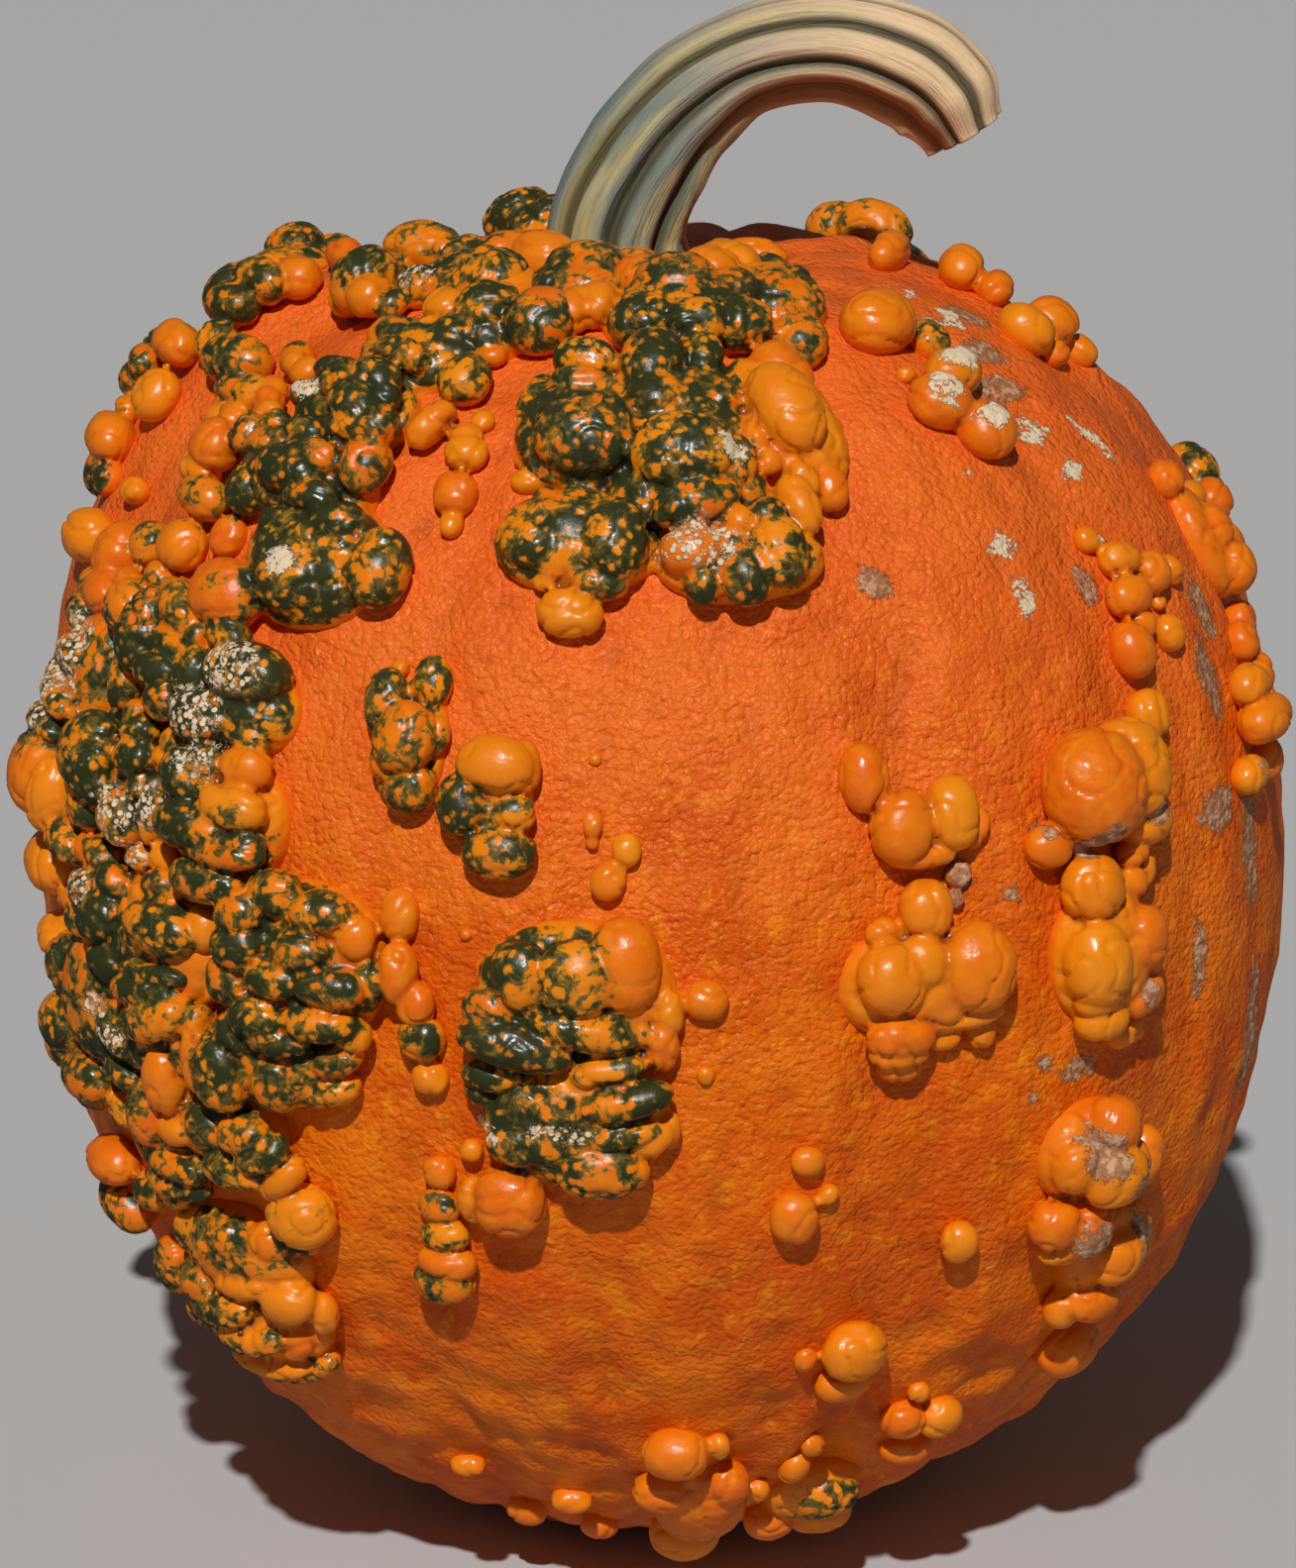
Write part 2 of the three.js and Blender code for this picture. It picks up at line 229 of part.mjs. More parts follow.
// Heaps of the seen side, read the same way: turn, rise, half width, half height, thickness (mm)
const HEAPS = [
  [-7, 9, 18, 13, 8], [-7, -2, 17, 13, 8], [-31, 9, 16, 15, 8], [-34, 0, 15, 9, 8],
  [-48, 7, 19, 14, 8], [-56, 0, 15, 14, 8], [-47, -1, 13, 9, 8], [-41, -20, 16, 10, 8],
  [-43, -27, 19, 12, 8], [-40, -7.5, 14, 8, 7], [-47.5, -10, 10, 11, 7], [-40, 19, 13, 12, 8],
  [-41.5, 28, 14, 9, 8], [-51, 31.5, 12, 12, 8], [-67.5, 26, 15, 16, 8], [-64, 16.5, 15, 11, 8],
  [-55.5, 20, 11, 10, 7], [-38, 40.5, 15, 13, 9], [-44, 46.5, 17, 9, 9], [-44, 53.5, 14, 10, 8],
  [-41.5, 60, 13, 9, 7], [-10, 54, 13, 13, 8], [-9, 44.5, 15, 10, 8], [2, 55, 14, 15, 8],
  [3, 48.5, 15, 8, 8], [16, 55, 11, 16, 8], [8, 43, 15, 8, 8], [-23, 27.5, 7, 12, 5],
  [-14.5, 23.5, 7, 11, 6], [22.5, 8.5, 17, 11, 8], [40, 8, 12, 13, 8], [39, -9.5, 11, 10, 7],
  [44, -21, 9, 11, 7], [5, -49, 9, 15, 7], [21, -51, 10, 9, 7], [76, 36, 9, 12, 5],
  [4, 67.5, 15, 11, 9], [23, 70, 13, 11, 9], [-23, 72, 11, 9, 8], [-48, 70, 15, 9, 8],
  [-34, 64, 9, 8, 7],
];

// Unseen side: heaps, chains and single warts placed by a seeded rule
let seed = 20;
function draw(low, high) {
  seed = (seed * 1664525 + 1013904223) % 4294967296;
  return low + ((high - low) * seed) / 4294967296;
}

const HEAP_RISES = [60, 34, 8, -20];
const HEAP_TURNS = [110, 138, 166, 194, 222, 248];
const CHAIN_TURNS = [124, 152, 180, 208, 235];

function unseenWarts() {
  const made = [];
  const heaps = [];
  HEAP_RISES.forEach((rise, row) => {
    HEAP_TURNS.forEach((turn, column) => {
      const skipped = (row * 3 + column * 2) % 4 === 0;
      const heapTurn = turn + draw(-8, 8);
      const heapRise = rise + draw(-6, 6);
      const count = 4 + Math.floor(draw(0, 5));
      const green = draw(0, 0.4) + (turn > 180 ? 0.4 : 0);
      if (!skipped) heaps.push([heapTurn, heapRise, 13, 11, 8]);
      for (let i = 0; i < count; i++) {
        const way = draw(0, 360);
        const far = 10 * Math.sqrt(draw(0.05, 1));
        const across = draw(4.5, 9);
        const up = across * draw(0.65, 1.05);
        const tilt = draw(-35, 35);
        if (skipped) continue;
        const wartRise = heapRise + (far * Math.sin(rad(way))) / 2.4;
        const wartTurn = heapTurn + (far * Math.cos(rad(way))) / (2.4 * Math.cos(rad(heapRise)));
        made.push([wartTurn, wartRise, across, up, tilt, green]);
      }
    });
  });
  CHAIN_TURNS.forEach((turn) => {
    let rise = draw(-10, 60);
    for (let i = 0; i < 5; i++) {
      const across = draw(3, 6);
      made.push([turn + draw(-1, 1), rise, across, across * draw(0.7, 1.1), 0, draw(0, 0.3)]);
      rise -= across * 0.85;
    }
  });
  for (let i = 0; i < 26; i++) {
    const across = draw(2.5, 6);
    made.push([draw(98, 262), draw(-58, 66), across, across * draw(0.7, 1.1), draw(-40, 40), draw(0, 0.4)]);
  }
  return { made, heaps };
}

const UNSEEN = unseenWarts();
const WARTS = [
  ...MIDDLE, ...UPPER, ...CROWN, ...LEFT_HIGH, ...LEFT, ...LEFT_MIDDLE, ...LOW, ...RIGHT, ...RIGHT_HIGH,
  ...UNSEEN.made,
];

function turnBetween(a, b) {
  return ((((a - b + 180) % 360) + 360) % 360) - 180;
}

// Distance of the bare skin from the middle of the belly
function skinRadius(turn, rise) {
  const c = Math.abs(Math.cos(rad(rise)));
  const s = Math.abs(Math.sin(rad(rise)));
  const height = rise > 0 ? TOP_H : BOTTOM_H;
  const power = rise > 0 ? TOP_POWER : BOTTOM_POWER;
  let r = Math.pow(Math.pow(c / BELLY_R, power) + Math.pow(s / height, power), -1 / power);
  r -= DIMPLE_DEPTH * Math.exp(-(((90 - rise) / DIMPLE_WIDTH) ** 2));
  for (const [at, deep, wide] of VALLEYS) {
    r -= deep * Math.exp(-((turnBetween(turn, at) / wide) ** 2)) * Math.sqrt(c);
  }
  for (const [at, up, high, wideTurn, wideRise] of SWELLINGS) {
    const away = (turnBetween(turn, at) / wideTurn) ** 2 + ((rise - up) / wideRise) ** 2;
    r += high * Math.exp(-away);
  }
  return r;
}

function skinPoint(turn, rise) {
  const r = skinRadius(turn, rise);
  const t = rad(turn);
  const e = rad(rise);
  return new THREE.Vector3(
    r * Math.cos(e) * Math.sin(t),
    -r * Math.cos(e) * Math.cos(t),
    BELLY_Z + r * Math.sin(e),
  );
}

function skinNormal(turn, rise) {
  const across = skinPoint(turn + 1, rise).sub(skinPoint(turn - 1, rise));
  const up = skinPoint(turn, rise + 1).sub(skinPoint(turn, rise - 1));
  return across.cross(up).normalize();
}

// Warts that stand close together push each other up into a heap
const FEET = WARTS.map(([turn, rise]) => skinPoint(turn, rise));

function crowdLift(point) {
  let crowd = 0;
  WARTS.forEach(([, , across, up], i) => {
    const near = Math.exp(-point.distanceToSquared(FEET[i]) / CROWD_REACH ** 2);
    crowd += (Math.min(across * up, CROWD_OWN) * near) / CROWD_REACH ** 2;
  });
  return CROWD_LIFT * THREE.MathUtils.clamp(crowd - CROWD_START, 0, 1);
}

function solidOf(geometry) {
  const merged = mergeVertices(geometry, 1e-3);
  return new wasm.Manifold(
    new wasm.Mesh({
      numProp: 3,
      vertProperties: merged.attributes.position.array,
      triVerts: new Uint32Array(merged.index.array),
    }),
  );
}

// Keeps positions only, so that shared corners merge
function bare(geometry) {
  geometry.deleteAttribute("uv");
  geometry.deleteAttribute("normal");
  return geometry;
}

function bodySolid() {
  const ball = bare(new THREE.SphereGeometry(1, BODY_AROUND, BODY_UP));
  ball.rotateX(Math.PI / 2);
  const at = ball.attributes.position;
  for (let i = 0; i < at.count; i++) {
    const unit = new THREE.Vector3().fromBufferAttribute(at, i);
    const rise = THREE.MathUtils.radToDeg(Math.asin(THREE.MathUtils.clamp(unit.z, -1, 1)));
    const flatness = Math.hypot(unit.x, unit.y);
    const turn = flatness < 1e-6 ? 0 : THREE.MathUtils.radToDeg(Math.atan2(unit.x, -unit.y));
    const p = skinPoint(turn, rise);
    if (flatness < 1e-6) p.set(0, 0, p.z);
    at.setXYZ(i, p.x, p.y, p.z);
  }
  return solidOf(ball);
}

// A rounded lobe that stands on the skin: half sizes across, up and out, and the height of its middle
function lobeSolid(turn, rise, tilt, across, up, out, height) {
  const normal = skinNormal(turn, rise);
  const side = new THREE.Vector3(0, 0, 1).cross(normal).normalize();
  const top = normal.clone().cross(side);
  const u = side.clone().multiplyScalar(Math.cos(rad(tilt))).addScaledVector(top, Math.sin(rad(tilt)));
  const v = normal.clone().cross(u);
  const centre = skinPoint(turn, rise).addScaledVector(normal, height);
  const large = across * up >= ROUNDER;
  const lobe = bare(
    large ? new THREE.IcosahedronGeometry(MANY_FACETS_SIZE, 1) : new THREE.IcosahedronGeometry(FEW_FACETS_SIZE, 0),
  );
  lobe.scale(across, up, out);
  lobe.applyMatrix4(new THREE.Matrix4().makeBasis(u, v, normal));
  lobe.translate(centre.x, centre.y, centre.z);
  return solidOf(lobe);
}

function wartSolid([turn, rise, across, up, tilt], i) {
  const a = across * WART_SCALE;
  const b = up * WART_SCALE;
  const out = WART_OUT * Math.sqrt(a * b);
  return lobeSolid(turn, rise, tilt, a, b, out, crowdLift(FEET[i]) + WART_SINK * out);
}

// Stem: centre line (mm, x and z) and radius along it
const STEM_LINE = [
  [-9, -4, 262], [-9.5, -4, 272], [-9.5, -4, 284], [-4, -4, 297], [5, -4, 309],
  [18, -4, 318], [35, -4, 321], [50, -4, 317], [58, -4, 311], [63, -4, 303],
];
const STEM_RADII = [18, 15.5, 13.8, 13.2, 12, 10.8, 11.2, 12, 11.5, 8.5];
const STEM_STEPS = 18;
const STEM_AROUND = 40;

function stemRadius(share) {
  const at = share * (STEM_RADII.length - 1);
  const i = Math.min(Math.floor(at), STEM_RADII.length - 2);
  return THREE.MathUtils.lerp(STEM_RADII[i], STEM_RADII[i + 1], at - i);
}

function stemGeometry(grow) {
  const line = new THREE.CatmullRomCurve3(STEM_LINE.map((p) => new THREE.Vector3(...p)));
  const tube = bare(new THREE.CylinderGeometry(1, 1, 1, STEM_AROUND, STEM_STEPS));
  tube.rotateX(Math.PI / 2);
  const at = tube.attributes.position;
  const side = new THREE.Vector3(0, -1, 0);
  for (let i = 0; i < at.count; i++) {
    const share = at.getZ(i) + 0.5;
    const round = Math.atan2(at.getY(i), at.getX(i));
    const size = Math.hypot(at.getX(i), at.getY(i));
    const ahead = line.getTangent(share);
    const out = side.clone().cross(ahead).normalize();
    const turned = round + STEM_TURN + STEM_TWIST * share;
    const wave = Math.abs(Math.sin((STEM_RIDGES * turned) / 2));
    const ridge = RIDGE_TOP - GROOVE_DEPTH * (1 - wave) ** GROOVE_SHARPNESS;
    const r = size < 0.5 ? 0 : stemRadius(share) * ridge + grow;
    const p = line.getPoint(share);
    p.addScaledVector(out, r * Math.cos(round)).addScaledVector(side, r * Math.sin(round));
    if (share < 0.001) p.z -= grow;
    at.setXYZ(i, p.x, p.y, p.z);
  }
  return tube;
}

// Everything below the surface that the fruit rests on
function floorSolid() {
  const box = bare(new THREE.BoxGeometry(CUTTER, CUTTER, CUTTER));
  box.translate(0, 0, -CUTTER / 2);
  return solidOf(box);
}

// The outer body of a fused solid: scraps and sealed hollows are left behind
function outerBody(solid) {
  return solid.decompose().reduce((best, one) => (one.volume() > best.volume() ? one : best));
}

function fruitSolid() {
  let fruit = bodySolid();
  [...HEAPS, ...UNSEEN.heaps].forEach(([turn, rise, across, up, out]) => {
    fruit = fruit.add(lobeSolid(turn, rise, 0, across, up, out, 0));
  });
  WARTS.forEach((wart, i) => {
    if (wart[2] * wart[3] >= SMALLEST) fruit = fruit.add(wartSolid(wart, i));
  });
  fruit = fruit.subtract(floorSolid());
  fruit = fruit.subtract(solidOf(stemGeometry(STEM_GAP)));
  return outerBody(fruit);
}

function meshOf(solid, name, colour) {
  const made = solid.getMesh();
  const geometry = new THREE.BufferGeometry();
  geometry.setAttribute("position", new THREE.BufferAttribute(made.vertProperties, 3));
  geometry.setIndex(new THREE.BufferAttribute(made.triVerts, 1));
  geometry.computeVertexNormals();
  const mesh = new THREE.Mesh(geometry, new THREE.MeshStandardMaterial({ color: colour, roughness: 0.5 }));
  mesh.name = name;
  return mesh;
}

const squash = new THREE.Group();
squash.add(meshOf(fruitSolid(), "fruit", RIND_COLOUR));
squash.add(meshOf(outerBody(solidOf(stemGeometry(0))), "stem", STEM_COLOUR));
export default squash;
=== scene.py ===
import math

import bmesh
import bpy
import numpy as np
from mathutils import Matrix, Vector, noise


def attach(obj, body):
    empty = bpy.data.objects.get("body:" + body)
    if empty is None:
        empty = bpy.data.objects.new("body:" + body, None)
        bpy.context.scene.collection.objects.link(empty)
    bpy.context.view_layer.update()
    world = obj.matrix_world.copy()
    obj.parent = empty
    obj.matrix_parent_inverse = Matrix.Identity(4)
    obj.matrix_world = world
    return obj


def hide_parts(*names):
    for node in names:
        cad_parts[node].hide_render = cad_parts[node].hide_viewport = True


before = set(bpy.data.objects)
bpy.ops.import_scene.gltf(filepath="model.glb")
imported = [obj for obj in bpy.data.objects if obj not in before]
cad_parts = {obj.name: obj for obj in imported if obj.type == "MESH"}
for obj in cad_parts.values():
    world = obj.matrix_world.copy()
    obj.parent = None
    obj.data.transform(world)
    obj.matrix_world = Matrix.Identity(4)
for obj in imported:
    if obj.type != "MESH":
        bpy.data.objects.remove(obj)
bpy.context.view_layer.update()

MM = 0.001

# The photograph's camera
IMAGE_W = 1308
IMAGE_H = 1583
CENTRE_PX = (669, 890)
VIEW_RISE = math.radians(18)
VIEW_DISTANCE = 1.150
PX_PER_M = 4600
SENSOR = 36

# Driving sizes of the fruit, in millimetres
BELLY_R = 136
TOP_H = 145
TOP_POWER = 2.3
BOTTOM_H = 142
BOTTOM_POWER = 2.0
BELLY_Z = 137
DIMPLE_DEPTH = 9
DIMPLE_WIDTH = 13
# Rib valleys: turn (degrees, 0 at the front, to the right), depth (mm), half width (degrees)
VALLEYS = [
    [-176, 4, 7], [-148, 4, 7], [-122, 4, 7], [-74, 5, 9], [-23, 2, 6], [-4.5, 1, 4],
    [21, 3.5, 6], [50, 3, 7], [80, 3, 7], [108, 4, 7], [134, 4, 7], [160, 4, 7],
]
# Swellings of the skin: turn, rise (degrees), height (mm), width in turn, width in rise (degrees)
SWELLINGS = [[-96, 52, 9, 17, 15], [-95, 30, 3, 15, 12]]

# Warts
WART_OUT = 0.84
WART_SINK = 0.35
WART_SCALE = 0.98
CROWD_REACH = 9
CROWD_START = 0.45
CROWD_LIFT = 7
CROWD_OWN = 40

# Heaps that the warts stand on: turn, rise, half width, half height, thickness (mm)
HEAPS = [
    [-7, 9, 18, 13, 8], [-7, -2, 17, 13, 8], [-31, 9, 16, 15, 8], [-34, 0, 15, 9, 8],
    [-48, 7, 19, 14, 8], [-56, 0, 15, 14, 8], [-47, -1, 13, 9, 8], [-41, -20, 16, 10, 8],
    [-43, -27, 19, 12, 8], [-40, -7.5, 14, 8, 7], [-47.5, -10, 10, 11, 7], [-40, 19, 13, 12, 8],
    [-41.5, 28, 14, 9, 8], [-51, 31.5, 12, 12, 8], [-67.5, 26, 15, 16, 8], [-64, 16.5, 15, 11, 8],
    [-55.5, 20, 11, 10, 7], [-38, 40.5, 15, 13, 9], [-44, 46.5, 17, 9, 9], [-44, 53.5, 14, 10, 8],
    [-41.5, 60, 13, 9, 7], [-10, 54, 13, 13, 8], [-9, 44.5, 15, 10, 8], [2, 55, 14, 15, 8],
    [3, 48.5, 15, 8, 8], [16, 55, 11, 16, 8], [8, 43, 15, 8, 8], [-23, 27.5, 7, 12, 5],
    [-14.5, 23.5, 7, 11, 6], [22.5, 8.5, 17, 11, 8], [40, 8, 12, 13, 8], [39, -9.5, 11, 10, 7],
    [44, -21, 9, 11, 7], [5, -49, 9, 15, 7], [21, -51, 10, 9, 7], [76, 36, 9, 12, 5],
    [4, 67.5, 15, 11, 9], [23, 70, 13, 11, 9], [-23, 72, 11, 9, 8], [-48, 70, 15, 9, 8],
    [-34, 64, 9, 8, 7],
]

# Warts of the seen side, read to half a degree and half a millimetre:
# turn, rise (degrees), half width, half height (mm), green share, tilt (degrees), 0 where left out
SEEN_WARTS = [
    [-3, 11.5, 7.5, 10, 0.15], [-7, 10.5, 8.5, 8.5, 0.4], [-11, 10.5, 6.5, 7.5, 0.7, 20],
    [-13.5, 10, 2.5, 5, 0.5], [-13.5, 7.5, 6, 5, 0.5], [-6.5, 6.5, 11.5, 4.5, 0.7, -10],
    [-2, 6, 4, 3.5, 0.3], [0, 5, 3.5, 5.5, 0.2], [-11.5, 5, 12, 5, 0.95, -10], [-4.5, 3, 8.5, 3.5, 0.3, 10],
    [-13.5, 2, 6.5, 3.5, 0.8], [-3, 0.5, 10.5, 4, 0.6, 12], [-14.5, 0.5, 4, 3.5, 0.9],
    [-11, 0, 5.5, 3.5, 0.7], [-11, -3.5, 8, 5.5, 0.8], [-3, -2.5, 8, 3, 0.4, 15],
    [-1, -3, 5.5, 3.5, 0.1, 30], [-5, -5.5, 10, 6.5, 0.35], [0.5, -2.5, 2.5, 4, 0.1],
    [0.5, 7.5, 3, 5.5, 0.15], [3.5, 8.5, 4.5, 4], [3.5, 2, 2, 2], [-12.5, -9, 7.5, 7.5, 0.15],
    [-15.5, -9.5, 3.5, 5, 0.1], [-16, -5.5, 2.5, 2.5], [-19, -8, 3.5, 3.5], [-19, -11, 4.5, 3.5, 0.4],
    [-18.5, -13.5, 5, 3.5, 0.3], [-18.5, -16, 6.5, 3.5, 0.1], [-19, -18, 6.5, 5, 0.5],
    [-22.5, 14, 4, 5.5, 0.05], [-22, 9.5, 4, 6.5, 0.05], [-20.5, 7, 4, 4.5], [-20, 4, 5, 4.5, 0.3],
    [-19.5, 0.5, 4, 3.5], [-16.5, 13, 1.5, 1.5], [-25.5, 30.5, 4.5, 7, 0.4], [-21.5, 32.5, 4, 5.5, 0.6],
    [-22.5, 28, 6.5, 7.5, 0.3], [-20, 28.5, 2.5, 4, 0.3], [-22, 24.5, 5.5, 5.5, 0.7],
    [-24.5, 26.5, 3.5, 5, 0.6], [-25.5, 33.5, 2, 2], [-14, 26.5, 8, 6, 0.15], [-12, 26.5, 3.5, 5.5, 0.1],
    [-16.5, 23.5, 5.5, 6.5, 0.8], [-12.5, 23, 4.5, 4, 0.3], [-13.5, 20, 7.5, 5.5, 0.65], [-6, 22.5, 2, 3],
    [-3, 20.5, 3, 3.5], [-4.5, 18, 3.5, 4, 0, -30], [-6, 21, 1.5, 1.5], [-6, 27.5, 1.5, 1.5],
    [-11.5, 60, 7, 5, 0.7, -10], [-13.5, 62, 4.5, 3, 0.05], [-17, 56.5, 3.5, 7, 0.5],
    [-11.5, 57.5, 6.5, 4, 0.6], [-7.5, 57, 4, 3.5, 0.1], [-9.5, 52.5, 11, 9.5, 1], [-6.5, 54, 5.5, 3, 0.1],
    [-16.5, 51.5, 3.5, 2.5], [-16, 49.5, 3.5, 3], [-12.5, 46.5, 4.5, 4.5, 0.6], [-9.5, 47, 4.5, 4, 0.7],
    [-13, 43.5, 7, 6, 0.6], [-5, 44, 7, 9, 0.6], [-6.5, 41, 6, 4, 0.7], [-4.5, 47, 3.5, 3.5, 0.2],
    [-11.5, 41, 3, 2.5], [-9, 38.5, 6.5, 5], [-1, 59.5, 7, 9, 0.75], [-0.5, 56, 6.5, 6, 0.8],
    [-2, 53, 4.5, 5, 0.8], [2.5, 50.5, 11, 9, 0.7], [7.5, 50, 5.5, 6.5, 0.5], [-1.5, 48, 4, 5.5, 0.8],
    [3.5, 46.5, 9.5, 5, 0.8, 15], [7, 56, 6, 5.5, 0.8], [6, 61, 4.5, 6, 1], [14.5, 54.5, 7.5, 11, 0.05],
    [17, 59.5, 6, 8, 0.05], [14, 52.5, 3.5, 4], [11, 52.5, 3, 4, 0.1], [20.5, 54.5, 3.5, 8.5, 0.1],
    [17.5, 51.5, 3, 5], [19, 49, 4, 5.5], [15.5, 49, 3, 4.5], [14, 46.5, 4.5, 7], [12, 50.5, 2.5, 3],
    [3, 43, 6.5, 5.5, 0.1], [4, 41, 4, 5.5, 0.8], [8, 41, 5.5, 6.5, 0.5], [11, 42.5, 6, 8, 0.3],
    [10.5, 45, 4.5, 5, 0.6], [8, 45, 4, 4, 0.1], [14, 42.5, 2, 3.5], [85, 82, 8, 4, 0.05],
    [45, 78, 6, 4, 0.4], [-13, 67.5, 5, 6], [40, 82, 3, 3, 0.2], [-22.5, 65, 8, 8, 0.45],
    [-16.5, 66.5, 4.5, 6, 0.05], [-58, 67, 5.5, 5.5, 0.7], [-68, 64.5, 8, 7.5, 0.5], [-58, 64, 3.5, 4, 0.6],
    [-45, 65.5, 5, 5, 0.2], [-71, 76, 7, 6, 0.2], [-77, 73, 7, 5, 0.7], [-84, 70, 9, 6, 0.3],
    [-80, 66.5, 6, 4, 0.4], [-76, 63, 5, 4, 0.2], [-25, 55, 2.5, 2.5], [-26, 53, 3.5, 3, 0.05],
    [-25, 51.5, 4.5, 4, 0.15], [-24.5, 48, 4.5, 5, 0.1], [-24, 45.5, 2.5, 3], [-30.5, 53, 6.5, 3, 0.1, 63],
    [-30, 58, 5.5, 6, 0.5], [-36.5, 62, 5, 4.5, 0.6], [-29, 61.5, 3, 2.5, 0.1], [-46.5, 60.5, 6.5, 5, 0.6],
    [-41.5, 62, 4, 3.5, 0.3], [-40, 58, 7, 4, 0.6], [-39.5, 54.5, 6.5, 5.5, 0.6], [-37.5, 53.5, 5, 4, 0.4],
    [-35.5, 51, 5, 5, 0.9], [-38, 50.5, 6.5, 4, 0.95], [-45, 58.5, 2, 2], [-41.5, 42, 6.5, 5, 0.9],
    [-35, 43, 7, 5, 0.8], [-38, 38.5, 9, 8, 0.9], [-33.5, 41, 5, 5, 0.6], [-29.5, 40.5, 6.5, 8.5, 0.7],
    [-50, 44.5, 5.5, 6, 0.8], [-43, 46, 9, 5, 0.95], [-41, 47, 8, 4.5, 0.7, 15], [-39, 44.5, 7, 4, 0.9],
    [-35, 48, 5.5, 6.5, 0.3], [-55, 48.5, 4, 5, 0.8], [-52, 49.5, 4, 4, 0.9], [-49.5, 48, 7, 4, 0.7, 15],
    [-46, 49.5, 6, 4, 0.7, 15], [-50, 53, 6.5, 3.5, 0.8], [-48, 55.5, 8, 3.5, 0.7], [-43.5, 54, 6, 5, 0.8],
    [-39, 52, 8, 5.5, 0.9, -30], [-40, 55, 5, 5, 0.6], [-56.5, 42.5, 7.5, 4.5, 0.3],
    [-56.5, 38.5, 6, 5.5, 0.2], [-51, 40.5, 4, 4.5, 0.15], [-64, 37.5, 5.5, 5, 0.35],
    [-62, 34, 5.5, 3.5, 0.1], [-58, 35.5, 4, 3.5, 0.2], [-69, 35.5, 7, 7.5], [-83, 34, 8, 6],
    [-80, 39.5, 4, 3], [-90, 40.5, 8, 5.5, 0.1], [-87, 38, 4, 4, 0.6], [-98, 47, 6, 5, 0.5],
    [-96, 44.5, 5, 5, 0.5], [-93, 42.5, 4.5, 3, 0.5], [-95, 46, 6, 4, 0.4], [-86, 46, 6, 6],
    [-90, 49.5, 8, 5], [-84, 52.5, 5, 5, 0.5], [-78, 53, 9, 6, 0.5], [-67, 56.5, 5, 4, 0.3],
    [-87, 55, 7, 5, 0.6], [-88, 57.5, 8, 5, 0.6], [-87, 60, 6, 5, 0.1], [-92, 64, 7, 4], [-70, 63.5, 8, 5],
    [-62, 63.5, 6, 5], [-59, 55.5, 4, 3.5], [-56.5, 57, 3, 2.5], [-65, 56, 5, 3], [-59.5, 52.5, 4, 3],
    [-74, 51.5, 6, 4, 0.4], [-72, 49, 6, 3.5, 0.1], [-62, 51.5, 6, 4.5, 0.4], [-57.5, 51.5, 4, 3, 0.1],
    [-62, 49.5, 5, 3, 0.1], [-55.5, 50.5, 4, 3], [-59, 46.5, 6, 6], [-61, 48.5, 4, 3], [-60.5, 44.5, 6, 4],
    [-64, 43.5, 3, 3.5, 0.3], [-40, 30.5, 10.5, 7, 0.75], [-43.5, 26.5, 8, 6, 0.9, -8],
    [-38.5, 26, 6, 3.5, 0.4, -8], [-41.5, 23, 5, 5, 0.8, -30], [-37.5, 23.5, 6, 5, 0.1],
    [-37.5, 20.5, 8.5, 5, 0.2], [-41, 18.5, 11, 5.5, 0.85], [-36.5, 18, 6, 4, 0.6],
    [-43, 22, 7, 6, 0.7, -30], [-37.5, 17, 9.5, 3.5, 0.5, 5], [-39.5, 14.5, 9.5, 5, 0.8],
    [-54, 31.5, 6.5, 9.5, 0.7], [-50.5, 34, 8, 5, 0.3, -30], [-47.5, 32.5, 3.5, 3.5, 0.8],
    [-45.5, 33, 4, 2, 0.5, -35], [-50.5, 29, 7, 4.5, 0.9], [-46, 29.5, 4.5, 6, 0.6],
    [-45.5, 36, 9, 7.5, 0.2], [-43.5, 33, 6, 4, 0.85, -15], [-59.5, 32.5, 7, 6, 0.4],
    [-66.5, 32.5, 7.5, 5, 0.15], [-72, 32, 7, 5, 0.3], [-70.5, 30, 8, 4.5, 0.35], [-67, 27, 9, 4.5, 0.6],
    [-69.5, 24.5, 8, 4.5, 0.75], [-66, 23.5, 10, 3.5, 0.5, -8], [-67, 21, 10, 4, 0.6],
    [-62, 22, 8, 3, 0.4, 8], [-56.5, 27.5, 4, 8, 0.5], [-49, 27, 5, 4.5, 0.6], [-51, 27, 2, 3, 0.1],
    [-52.5, 25, 4, 3.5, 0.1], [-51.5, 24, 5, 4, 0.95], [-51, 22, 5.5, 4.5, 0.7], [-48, 22.5, 3, 3, 0.05],
    [-47, 24, 3.5, 3, 0.5], [-56.5, 21, 9, 9, 0.6], [-56, 19, 8, 5, 0.8], [-57.5, 16.5, 5.5, 5, 0.5],
    [-66.5, 17, 10, 10, 0.25], [-69, 20, 8, 5, 0.3], [-63.5, 16, 7, 9, 0.1], [-65, 13, 9, 2.5, 0.5],
    [-51.5, 17, 5.5, 7, 0.4, 60], [-48, 18.5, 3, 8, 0.3], [-50, 20, 4, 3, 0.2],
    [-61, 13, 8.5, 4.5, 0.35, -20], [-57, 13, 3.5, 4.5, 0.2], [-54.5, 13, 5.5, 3, 0.6, -20],
    [-49.5, 14, 4, 3, 0.3, -20], [-47, 14.5, 3.5, 3, 0.1], [-67.5, 9, 11, 7, 0.1], [-62.5, 7, 7, 3],
    [-67.5, 2, 9, 5], [-52, 11.5, 5.5, 4, 0.6], [-55, 10, 6, 5, 0.7], [-52.5, 8.5, 7, 6, 0.7],
    [-51.5, 5, 7, 5, 0.95], [-57.5, 7, 6, 5, 0.5], [-45.5, 12.5, 6, 4, 0.3], [-48, 11, 4, 4, 0.1],
